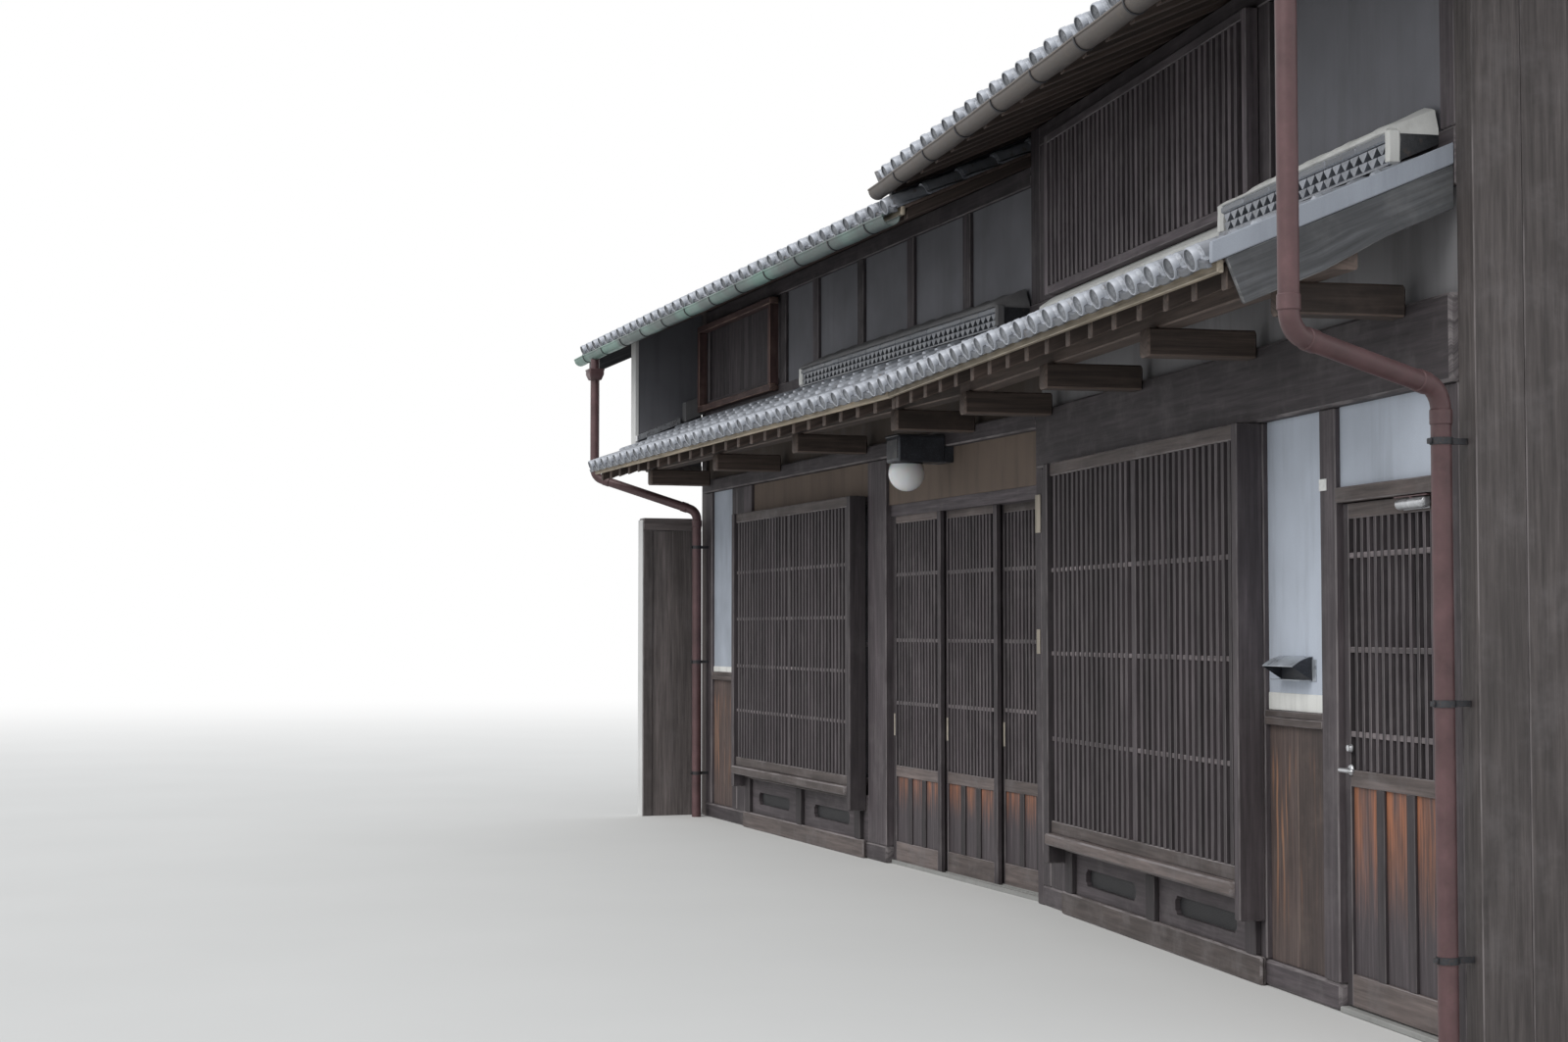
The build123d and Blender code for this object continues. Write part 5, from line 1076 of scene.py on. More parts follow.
def door_leaf(shell, span, front, thick, levels, mid, bars, rails):
    """A framed leaf: stiles and rails, bars and glass above, battened boards below."""
    face = (front, front + thick)
    half_way = front + thick * 0.5
    inner, stiles = framed(span, 0.05)
    shell.timbers(stiles, face, levels, Z, 0.003, 0.0006)
    low, high = (levels[0], levels[0] + 0.125), (levels[1] - 0.06, levels[1])
    glass, boards = (mid[1], high[0]), (low[1], mid[0])
    shell.timbers(inner, face, (low, high, mid), X, 0.003, 0.0005, slot=1)
    shell.timbers(standing(between(inner, bars), 0.022), (front, half_way), glass, Z, 0.002, 0.0006)
    shell.timbers(inner, (front + 0.004, half_way + 0.006), standing(rails, RAIL), X, 0.002, 0.0005, slot=6)
    shell.slab(inner, (face[1] - 0.004, face[1]), glass, Z, 0.0005, 3)
    panel = about(sum(face) / 2, 0.008)
    edges = np.linspace(*inner, 4)
    shell.slab(list(zip(edges, edges[1:])), panel, boards, Z, 0.001, 2)
    shell.timbers(standing(edges[1:-1], 0.062), (front, panel[0]), boards, Z, 0.003, 0.0005, slot=5)


def grooved(levels, cut, down):
    """The outline of a sill or head rail with three grooves, as (y, z) points."""
    front = 0.038
    other, top = levels[::-1] if down else levels
    bed = top + cut if down else top - cut
    points = [(front, top)]
    for index in range(3):
        start = TRACK + index * TRACK_PITCH
        points += [(start - 0.005, top), (start - 0.005, bed), (start + 0.035, bed), (start + 0.035, top)]
    return [*points, (FRAME_BACK, top), (FRAME_BACK, other), (front, other)]


class EntryDoors(bpy.types.Operator):
    """Three sliding leaves with their pulls, on a grooved threshold under a grooved head rail"""

    bl_idname = "townhouse.entry_doors"
    bl_label = "Entry doors"

    def execute(self, context):
        levels, mid, rails = (0.0203, 2.24), (0.56, 0.63), (1.03, 1.43, 1.85)
        for index, title in enumerate(("left", "middle", "right")):
            start = -2.395 + 0.76 * index
            front = TRACK + TRACK_PITCH * index
            leaf = Shell()
            door_leaf(leaf, (start, start + 0.80), front, 0.030, levels, mid, 13, rails)
            x, tall = start + (0.043 if index else 0.025), about(0.89, 0.14)
            rims = standing((x - 0.006, x + 0.006), 0.002)
            leaf.slab(rims, (front - 0.0015, front + 0.004), tall, Z, 0.0005, 4)
            leaf.slab(about(x, 0.010), (front - 0.0005, front + 0.002), tall, Z, 0.0005, 4)
            node = f"entry_door_{title}"
            leaf.piece(f"{title}_entry_leaf", "frame, sill, glow, glass, brass, deep, rail", node, body=node)

        for title, levels, cut, finish, slot in (
            ("threshold", (0.0, 0.026), 0.006, "threshold stone", "stone"),
            ("head_rail", (2.225, 2.30), 0.020, "frame", "dark_timber"),
        ):
            rail = Shell()
            rail.run(grooved(levels, cut, title == "head_rail"), np.linspace(*ENTRY, 5))
            rail.piece(f"entry_{title}", finish, f"entry_{title}", slot)
        return {"FINISHED"}


class SideDoor(bpy.types.Operator):
    """The hinged side door with its frame, hinges, lever, lock and closer"""

    bl_idname = "townhouse.side_door"
    bl_label = "Side door"

    def execute(self, context):
        door, surround = Shell(RIGHT), Shell(RIGHT)
        leaf = (SIDE_DOOR[0] + 0.005, SIDE_DOOR[1] - 0.005)
        door_leaf(door, leaf, 0.03, 0.036, (0.03, 1.995), (0.885, 0.95), 12, (1.09, 1.42, 1.79))
        axis = (SIDE_DOOR[1] - 0.0075, 0.0227)
        hinges, lift, tall = (0.230, 0.960, 1.700), 0.0453, 0.045
        knuckle = [(0.0055, 0.0), (0.007, 0.0015), (0.007, 0.0435), (0.0055, 0.0447)]

        def hinge(shell, level, x, y, slot):
            """One knuckle about the hinge's axis and the flat wing beside it."""
            shell.turned((*axis, level), knuckle, UP, 12, slot=slot)
            shell.slab(x, y, (level, level + tall), Z, 0.0006, slot)

        for level in hinges:
            hinge(door, level + lift, (leaf[1] - 0.05, axis[0]), (0.027, 0.030), 4)
        keys = "frame, sill, side glow, glass, iron, deep, rail"
        door.piece("side_door_leaf", keys, "side_door", body="side_door")

        surround.timbers(SIDE_DOOR, POST, (2.0, 2.06), X, 0.005)
        surround.slab(SIDE_DOOR, POST, (0.0, 0.024), X, 0.004, 1)
        for level in hinges:
            hinge(surround, level, (axis[0], SIDE_DOOR[1]), (0.0212, 0.0242), 2)
        surround.piece("side_door_frame", "sill, threshold stone, iron", "side_door_frame")

        lever = Shell(RIGHT)
        x, z, y = leaf[0] + 0.06, 0.95, 0.03
        rose = [(0.022, 0.0), (0.022, 0.005), (0.018, 0.009), (0.010, 0.010)]
        neck = [(0.009, 0.006), (0.008, 0.030), (0.009, 0.046)]
        grip = [
            (0.004, -0.009), (0.0085, -0.006), (0.009, 0.0), (0.009, 0.09), (0.0085, 0.106), (0.004, 0.111),
        ]
        lock = [(0.016, 0.0), (0.016, 0.006), (0.013, 0.010), (0.012, 0.018), (0.006, 0.020)]
        for place, profile, heading, sides in (
            ((x, y, z), rose, OUTWARD, 20), ((x, y, z), neck, OUTWARD, 14),
            ((x, y - 0.048, z), grip, ALONG, 14), ((x, y, z + 0.085), lock, OUTWARD, 18),
        ):
            lever.turned(place, profile, heading, sides)
        lever.piece("door_lever", "silver", "door_lever", body="side_door", slot="grey_metal")

        closer = Shell(RIGHT)
        right = leaf[1] - 0.10
        centre = right - 0.11
        case = [(0.012, 0.0), (0.019, 0.005), (0.0205, 0.012), (0.0205, 0.208), (0.019, 0.215), (0.012, 0.22)]
        closer.turned((right - 0.22, 0.0095, 1.966), case, ALONG, 20)
        closer.slab(about(centre, 0.20), (0.024, 0.030), (1.944, 1.988), X, 0.002)
        closer.slab(about(centre, 0.26), (-0.002, 0.016), (1.990, 1.9955), X, 0.0015, 1)
        pivot = [(0.011, 0.0), (0.011, 0.009), (0.008, 0.012)]
        closer.turned((centre, 0.0085, 1.984), pivot, UP, 14, slot=1)
        closer.piece("door_closer", "silver, pipe", "door_closer", body="side_door", slot="grey_metal")
        return {"FINISHED"}


class Eaves(bpy.types.Operator):
    """Rafters, decks and eave boards of the pent roof and both main roofs"""

    bl_idname = "townhouse.eaves"
    bl_label = "Eaves"

    @staticmethod
    def frame(shell, span, overhang, depth, level, slope, rafter, back):
        """Rafters under a deck of long boards, and the pale board over their ends.

        The pent roof's rafters are let over its purlin, so they hang lower than its top.
        """
        base = level + slope * overhang
        shape = mirrored if back else None
        under = base - DECK
        places = evenly((span[0] + RAFTER[0], span[1] - RAFTER[0]), 0.285)
        run = (-overhang + 0.02, depth)
        shell.timbers(standing(places, RAFTER[0]), run, (under - rafter, under), Y, lean=slope, shape=shape)
        boards = parts_of((-overhang, depth), 0.24)
        shell.timbers(span, boards, (under, base), X, 0.002, 0.0003, slot=1, lean=slope, shape=shape)
        edge, height = (-overhang - FASCIA, -overhang), (level - FASCIA_DEPTH, level - 0.008)
        shell.timbers(span, edge, height, X, 0.003, 0.0008, slot=2, shape=shape)

    def execute(self, context):
        pent = (PENT_OVERHANG, 0.0, PENT_EAVE, PENT_SLOPE, PENT_RAFTER)
        left, right = (
            (wing, LAP, span, (ROOF_OVERHANG, RIDGE_Y, eave, ROOF_SLOPE, RAFTER[1]))
            for wing, span, eave in ((LEFT, LEFT_ROOF, LEFT_EAVE), (RIGHT, RIGHT_ROOF, RIGHT_EAVE))
        )
        for title, node, back, runs in (
            ("left_pent_rafters", "pent_frame_left", False, [(LEFT, None, LEFT_PENT, pent)]),
            ("right_pent_rafters", "pent_frame_right", False, [(RIGHT, 0.0, RIGHT_PENT, pent)]),
            ("left_main_rafters", "roof_frame_left", False, [left]),
            ("right_main_rafters", "roof_frame_right", False, [right]),
            ("back_rafters", "roof_frames_back", True, [left, right]),
        ):
            shell = Shell()
            for shell.wing, shell.trim, span, sizes in runs:
                self.frame(shell, span, *sizes, back)
            shell.piece(title, "eave, eave, eave board", node, "eave_timber")
        return {"FINISHED"}


class PentArms(bpy.types.Operator):
    """The arms out of the head beams and the purlins that they carry"""

    bl_idname = "townhouse.pent_arms"
    bl_label = "Pent arms"

    def execute(self, context):
        front, rear, seat = -0.475, -0.365, 2.77
        top = pent_top(front) - DECK - RAFTER[1]
        crown = top + PENT_SLOPE * (rear - front)
        outline = [
            (front, seat + 0.007), (front + 0.007, seat), (rear - 0.007, seat), (rear, seat + 0.007),
            (rear, crown - 0.003), (rear - 0.005, crown - 0.002),
            (front + 0.005, top + 0.002), (front, top - 0.003),
        ]
        for title, wing, span, ends, pitch in (
            ("left", LEFT, LEFT_PENT, (-6.31, -0.90), 1.8),
            ("right", RIGHT, RIGHT_PENT, (0.24, 4.30), 1.35),
        ):
            arms = Shell(wing, 0.0)
            arms.timbers(standing(evenly(ends, pitch), 0.11), (-0.52, BEAM_FACE[0]), (2.65, seat), Y, 0.008)
            arms.run(outline, np.linspace(*span, 9), np.tile((1.0, 0.0), (8, 4)))
            arms.piece(f"{title}_pent_arms", "eave", f"pent_brackets_{title}", slot="eave_timber")
        return {"FINISHED"}


def tile_height(share, tiles):
    """How far a tile's surface stands over the deck, by the share of the way across it.

    In the middle stands the roll, half an ellipse. The pans at both sides dip as a
    parabola. The roll's left edge laps over the next pan with a small upright lip.
    """
    reach = np.abs(share - 0.5) / (ROLL_SHARE / 2)
    roll = ROLL * np.sqrt(np.clip(1 - reach**2, 0, 1))
    out = np.minimum(share, 1 - share) / (0.5 - ROLL_SHARE / 2)
    pan = -tiles.sag * (1 - np.clip(out, 0, 1) ** 2)
    inward = share - ROLL_EDGE
    lip = np.where((inward >= 0) & (share < 0.5), 0.007 * np.clip(1 - inward / 0.1, 0, 1), 0.0)
    return PAN + np.where(reach < 1, roll, pan) + lip


# Where the points of a tile and of an eave tile's front stand, as shares of the way across
ACROSS = (0.0, 0.13, 0.25, ROLL_EDGE, 0.30, 0.35, 0.42, 0.5, 0.58, 0.65, 0.70, 0.7251, 0.87)
FRONT = (
    0.0, 0.06, 0.12, 0.18, 0.24, ROLL_EDGE, 0.30, 0.34, 0.38, 0.42, 0.46,
    0.5, 0.54, 0.58, 0.62, 0.66, 0.70, 0.7251, 0.76, 0.82, 0.88, 0.94,
)


class Slope:
    """One tiled slope: its frame of directions, from the top edge down to the eave."""

    def __init__(self, span, top, run, slope, back=False):
        length = math.sqrt(1 + slope**2)
        self.span, self.long, self.back = span, run * length, back
        self.origin = np.array([0.0, *top])
        self.down = np.array([0.0, -1.0, -slope]) / length
        self.out = np.array([0.0, -slope, 1.0]) / length
        self.count = max(1, round((span[1] - span[0]) / TILE_PITCH))
        self.pitch = (span[1] - span[0]) / self.count

    def across(self, shares):
        """Each column's tile, its share of the way across that tile, and its x."""
        tile = np.append(np.repeat(np.arange(self.count), len(shares)), self.count - 1)
        share = np.append(np.tile(shares, self.count), 1.0)
        return tile, share, self.span[0] + (tile + share) * self.pitch

    def at(self, x, way, height):
        """Points of the slope: x along the eave, way down it, and height square to it."""
        x, way, height = np.broadcast_arrays(x, way, height)
        points = way[..., None] * self.down + height[..., None] * self.out + self.origin
        points[..., 0] += x
        return mirrored(points) if self.back else points


def tile_field(shell, slope, tiles):
    """Tiles in courses: each course rises evenly by the step to its rounded lower edge.

    Past the seam of the wings the height stays at the pan's, so that no roll stands cut.
    Down the slope the height is a saw-tooth of the way divided by the course. Across it is
    the tile's own outline. Each tile sits a hair higher or lower than the next.
    """
    courses = max(2, round(slope.long / tiles.course))
    rows = np.append([[c, c + 0.90, c + 0.985] for c in range(courses)], courses)[:, None]
    rise = np.append(np.tile([0.0, 0.95, 0.80], courses), 0.55)[:, None]
    course = np.minimum(rows[:, 0].astype(int), courses - 1)
    tile, share, x = slope.across(ACROSS)
    settle = (chance.random((courses, slope.count)) - 0.5) * 0.004
    slide = (chance.random((courses, slope.count)) - 0.5) * 0.006
    edge = rows % 1 > 0.5
    plain = rows * slope.long / courses
    way = np.clip(plain + np.where(edge, slide[course][:, tile], 0.0), 0, slope.long)
    low = tile_height(share, tiles) - tiles.step
    height = low + rise * tiles.step + settle[course][:, tile] * np.where(edge, 1.0, 0.4)
    beyond = x < shell.seam(slope.at(x, way, height)[..., 1])
    height = np.where(beyond, tile_height(0.0, tiles) - tiles.step * (1 - rise), height)
    tones = chance.random((courses, slope.count)) * 0.8 + chance.random((1, slope.count)) * 0.2
    tone = tones[course[:-1]][:, tile[:-1]]
    # The faces at each course's lower edge are marked for the painted highlight.
    wear_and_highlight = np.broadcast_to(rows[:-1] % 1 > 0.8, tone.shape).astype(float)
    uv = np.stack(np.broadcast_arrays(tile + share, rows), axis=-1)
    shell.relief(slope.at(x, way, height), slope.at(x, plain, 0.001), uv, tone, wear_and_highlight)


def eave_row(shell, slope, tiles):
    """The eave tiles' hanging fronts, scalloped between the discs, and the discs themselves.

    The front's lower edge is half an ellipse that hangs deepest between two discs: the lip
    times the root of one less the square of the way from the pan's middle.
    """
    share, x = slope.across(FRONT)[1:]
    aside = np.minimum(share, 1 - share) / 0.42
    lower = 0.010 - tiles.lip * np.sqrt(np.clip(1 - aside**2, 0, 1))
    seam = shell.seam(slope.at(0.0, slope.long, 0.0)[1])
    upper = np.where(x < seam, tile_height(0.0, tiles), tile_height(share, tiles)) - 0.002
    lower = np.where(x < seam, 0.010 - tiles.lip, np.minimum(lower, upper - 0.008))
    ways = slope.long + np.array([-0.006, 0.010, 0.014, 0.014, 0.010, -0.006])
    heights = np.stack([upper, upper, upper - 0.004, lower + 0.004, lower, lower], axis=-1)
    # The fronts take slot 2, the darker eave tile finish: painted shade.
    shell.loft(slope.at(x[:, None], ways, heights), 0.1, 2, 0.55)
    radius = tiles.disc
    places = slope.span[0] + (np.arange(slope.count) + 0.5) * slope.pitch
    places = places[places > seam + 0.6 * radius]
    profile = np.array([
        (1.0, -0.004), (1.0, 0.017), (0.95, 0.0215), (0.86, 0.0215),
        (0.80, 0.016), (0.45, 0.017), (0.06, 0.018),
    ])
    heading = slope.down * (1, -1 if slope.back else 1, 1)
    centres = slope.at(places, slope.long, PAN + ROLL - radius)
    shell.turned(centres, profile * (radius, 1.0), heading, 14, slot=1, chart=True)


class PentTiles(bpy.types.Operator):
    """Tiles of the pent roof with their eave fronts, discs and the skirt at the right verge"""

    bl_idname = "townhouse.pent_tiles"
    bl_label = "Pent tiles"

    def execute(self, context):
        tiles = choices().tiles
        run, foot = PENT_OVERHANG + FASCIA + NOSE, pent_top(0.0)
        for title, wing, span in (("left", LEFT, LEFT_PENT), ("right", RIGHT, RIGHT_PENT)):
            shell = Shell(wing, 0.0)
            slope = Slope(span, (0.0, foot), run, PENT_SLOPE)
            tile_field(shell, slope, tiles)
            eave_row(shell, slope, tiles)
            if wing == RIGHT:
                skirt = ((span[1], span[1] + 0.024), (-run, 0.0), (foot - 0.005, foot + 0.073))
                shell.timbers(*skirt, Y, 0.004, 0.0, slot=3, lean=PENT_SLOPE)
            keys = "roof tile, disc, eave tile, skirt"
            shell.piece(f"{title}_pent_tiles", keys, f"pent_tiles_{title}", "smoked_tile")
        return {"FINISHED"}


class MainTiles(bpy.types.Operator):
    """Tiles of both main roofs, front and back"""

    bl_idname = "townhouse.main_tiles"
    bl_label = "Main roof tiles"

    def execute(self, context):
        tiles = choices().tiles
        run = ROOF_OVERHANG + RIDGE_Y + FASCIA + NOSE
        left, right = (LEFT, LEFT_ROOF, LEFT_EAVE), (RIGHT, RIGHT_ROOF, RIGHT_EAVE)
        for title, node, back, roofs in (
            ("left_main_tiles", "roof_tiles_left", False, [left]),
            ("right_main_tiles", "roof_tiles_right", False, [right]),
            ("back_tiles", "roof_tiles_back", True, [left, right]),
        ):
            shell = Shell(trim=LAP)
            for shell.wing, span, eave in roofs:
                slope = Slope(span, (RIDGE_Y, roof_top(eave, RIDGE_Y)), run, ROOF_SLOPE, back)
                tile_field(shell, slope, tiles)
                eave_row(shell, slope, tiles)
            shell.piece(title, "roof tile, disc, eave tile", node, "smoked_tile")
        return {"FINISHED"}


class Ridges(bpy.types.Operator):
    """Both ridges: mortar, courses of flat tiles, round caps with collars and end discs"""

    bl_idname = "townhouse.ridges"
    bl_label = "Ridges"

    def execute(self, context):
        ridge = Shell(trim=LAP)
        one = np.array([
            (0.066, 0.0), (0.066, 0.80), (0.073, 0.82), (0.0745, 0.90), (0.073, 0.985), (0.066, 0.999),
        ])
        end = [(0.070, -0.03), (0.074, -0.028), (0.074, 0.0), (0.066, 0.006), (0.058, 0.001), (0.004, 0.003)]
        half = 0.105
        for ridge.wing, span, eave, x, heading in (
            (LEFT, (LEFT_ROOF[0], -LAP - 0.05), LEFT_EAVE, LEFT_ROOF[0], (-1, 0, 0)),
            (RIGHT, (-LAP - 0.42, RIGHT_ROOF[1]), RIGHT_EAVE, RIGHT_ROOF[1], ALONG),
        ):
            crown = roof_top(eave, RIDGE_Y) + (PAN + ROLL) * math.sqrt(1 + ROOF_SLOPE**2)
            foot, front, rear = crown - ROOF_SLOPE * half, RIDGE_Y - half, RIDGE_Y + half
            bed = crown + 0.004
            outline = [(front, foot), (RIDGE_Y, crown), (rear, foot), (rear, bed), (front, bed)]
            ridge.run(outline, np.linspace(*span, 12), slot=1)
            for course in range(4):
                wide = half - 0.004 * course
                level = bed + 0.037 * course
                y = (RIDGE_Y - wide, RIDGE_Y + wide)
                ridge.timbers(parts_of(span, 0.30, 0.001), y, (level, level + 0.034), X, 0.006, 0.0015)
            top = crown + 0.152
            caps = evenly(span, 0.26)
            profile = np.concatenate([one * (1, caps[1] - caps[0]) + (0, start) for start in caps[:-1]])
            ridge.turned((0.0, RIDGE_Y, top), profile, ALONG, 16)
            ridge.turned((x, RIDGE_Y, top), end, heading, 20, slot=2, chart=True)
        ridge.piece("ridges", "tile, mortar, disc", "ridges", slot="smoked_tile")
        return {"FINISHED"}


class VergeBoards(bpy.types.Operator):
    """Boards along the gable ends and under the pent roof's right verge"""

    bl_idname = "townhouse.verge_boards"
    bl_label = "Verge boards"

    def execute(self, context):
        boards = Shell()
        rise, half = ROOF_SLOPE * ROOF_OVERHANG, (-ROOF_OVERHANG, RIDGE_Y)
        for boards.wing, x, eave in (
            (LEFT, (LEFT_ROOF[0] - 0.03, LEFT_ROOF[0]), LEFT_EAVE),
            (RIGHT, (RIGHT_ROOF[1], RIGHT_ROOF[1] + 0.03), RIGHT_EAVE),
        ):
            z = (eave + rise - 0.19, eave + rise)
            for shape in (None, mirrored):
                boards.timbers(x, half, z, Y, 0.005, lean=ROOF_SLOPE, shape=shape)
        rear = pent_top(0.0) - 0.006

        def raked(rings):
            """The front end cut square: points move in by the slope times their depth."""
            drop = rear + PENT_SLOPE * rings[..., 1] - rings[..., 2]
            rings[..., 1] += PENT_SLOPE * drop * (rings[..., 1] < -PENT_OVERHANG / 2)
            return rings

        x, y = (RIGHT_PENT[1], RIGHT_PENT[1] + 0.02), (-PENT_OVERHANG, 0.0)
        boards.timbers(x, y, (rear - 0.16, rear), Y, 0.004, 0.0, lean=PENT_SLOPE, shape=raked)
        boards.wing = LEFT

        def lapped(rings, back=False):
            """Points raised by the slope times their way in as the right wing measures it."""
            inward = rings[..., 0] * math.sin(BEND) + rings[..., 1] * math.cos(BEND)
            rings[..., 2] += ROOF_SLOPE * (DEPTH - inward if back else inward)
            return rings

        foot, ends = RIGHT_EAVE + rise, (-ROOF_OVERHANG, RIDGE_Y, DEPTH + ROOF_OVERHANG)
        front, ridge, rear = (end / math.cos(BEND) + LAP * math.tan(BEND) for end in ends)
        for y, shape in (((front, ridge), lapped), ((ridge, rear), lambda rings: lapped(rings, True))):
            boards.timbers((-LAP - 0.03, -LAP), y, (foot - 0.105, foot), Y, 0.005, shape=shape)
        boards.piece("verge_boards", "weathered", "verge_boards", slot="weathered_boards")
        return {"FINISHED"}


def wedge_row(shell, span, level, tall, y, slot=0):
    """A row of small wedges that point down, with dark gaps between them.

    Each wedge's face is a triangle with its point cut off, set every pitch along the wall
    and carried back into it.
    """
    places = evenly(span, 0.074)
    places = (places[1:] + places[:-1]) / 2
    point, edge, shoulder = 0.004, 0.034, tall - 0.005
    side = np.array([(edge, tall), (edge, shoulder), (point, 0.0)])
    face = np.concatenate([side * (-1, 1), side[::-1]])
    rings = np.zeros((len(places), 2, len(face), 3))
    rings[..., 0] = places[:, None, None] + face[:, 0]
    rings[..., 1] = np.array(y)[:, None]
    rings[..., 2] = level + face[:, 1]
    shell.loft(rings, 0.3, slot)


def mortar_cap(shell, span, foot, low, high, swell, slot):
    """Trowelled mortar that swells over the front ledge and rises to the wall.

    The section is a fixed outline of points. Its height above the ledge is multiplied
    along the wall by a share that starts and ends at a fifth and may swell part of the
    way along; small waves keep it hand made.
    """
    x = np.linspace(*span, 60)
    ends = np.clip(np.minimum(x - span[0], span[1] - x) / 0.05, 0, 1)
    ends = 0.2 + 0.8 * np.sqrt(1 - (1 - ends) ** 2)
    step = 1 / (1 + np.exp(-(x - swell) / 0.025))
    waves = 1 + 0.05 * np.sin(x * 23.0) + 0.04 * np.sin(x * 51.0 + 1.0)
    share = ends * (0.62 + 0.38 * step) * waves
    y, tall = np.array([
        (-0.190, 0.0), (-0.201, 0.10), (-0.203, 0.22), (-0.196, 0.38), (-0.176, 0.52),
        (-0.130, 0.66), (-0.075, 0.82), (-0.03, 0.95), (0.0, 1.0), (0.0, 0.0),
    ]).T
    rise = low + (high - low) * (y + 0.2) / 0.2
    z = foot + tall * rise * share[:, None]
    shell.loft(np.stack(np.broadcast_arrays(x[:, None], y, z), axis=-1), 0.3, slot)


class TileBands(bpy.types.Operator):
    """Ornament bands of small tiles and mortar where the pent roof meets the wall"""

    bl_idname = "townhouse.tile_bands"
    bl_label = "Tile bands"

    def execute(self, context):
        foot = pent_top(0.0) + (PAN + ROLL) * math.sqrt(1 + PENT_SLOPE**2)
        front = foot - PENT_SLOPE * 0.2
        band = Shell()
        tall = 0.036
        core = [(-0.158, front + 0.0176), (0.0, foot), (0.0, front + 0.118), (-0.158, front + 0.118)]
        base = [(-0.20, 0.0), (-0.150, 0.021), (-0.150, 0.024), (-0.196, 0.012), (-0.20, 0.008)]
        # On the left wing the band's tiles take slot 5, the darker eave tile finish, and slot 4, the darker
        # mortar, takes its cap and right end: painted shade.
        for band.wing, span, ends, swell, tile in (
            (LEFT, (-3.53, -0.14), (1, 4), -9.0, 5), (RIGHT, (3.0, 4.56), (1, 1), 3.34, 0),
        ):
            stations = np.linspace(*span, 14)
            band.run(core, stations, slot=2)
            band.run(np.add(base, (0.0, front)), stations, 0.4, tile)
            row = (span[0] + 0.03, span[1] - 0.03)
            for level in (front + 0.012, front + 0.014 + tall):
                wedge_row(band, row, level, tall, (-0.190, -0.157), tile)
            ledge = (front + 0.088, front + 0.118)
            band.timbers(parts_of(span, 0.27, 0.001), (-0.200, -0.10), ledge, X, 0.006, 0.001, tile)
            mortar_cap(band, span, front + 0.117, 0.070, 0.113, swell, ends[1])
            tall_end = (front + 0.004, front + 0.135)
            for x, width, cap in ((span[0] + 0.012, 0.05, ends[0]), (span[1] - 0.008, 0.03, ends[1])):
                band.timbers(about(x, width), (-0.204, -0.15), tall_end, Z, 0.011, 0.002, cap)
        band.wing = LEFT
        core = [(-0.165, front + 0.0147), (0.0, foot), (0.0, foot + 0.15), (-0.165, front + 0.172)]
        band.run(core, (-LEFT_WIDTH, -6.55, -6.50), slot=4)
        band.wing = RIGHT
        sill = [(-0.09, foot - 0.0378), (0.0, foot), (0.0, 3.2995), (-0.078, 3.246), (-0.088, 3.236)]
        band.run(sill, np.linspace(*UPPER_LATTICE, 12), 0.2, slot=1)
        band.wing = LEFT
        strip = [(-0.56, 0.0), (-0.20, 0.0), (-0.20, 0.045), (-0.56, 0.045)]
        band.run([(y, foot + PENT_SLOPE * y + lift) for y, lift in strip], (-LEFT_WIDTH, -6.54), slot=3)
        keys = "tile, mortar, shaded tile, silver, old mortar, eave tile"
        band.piece("tile_bands", keys, "tile_bands", "smoked_tile")
        return {"FINISHED"}


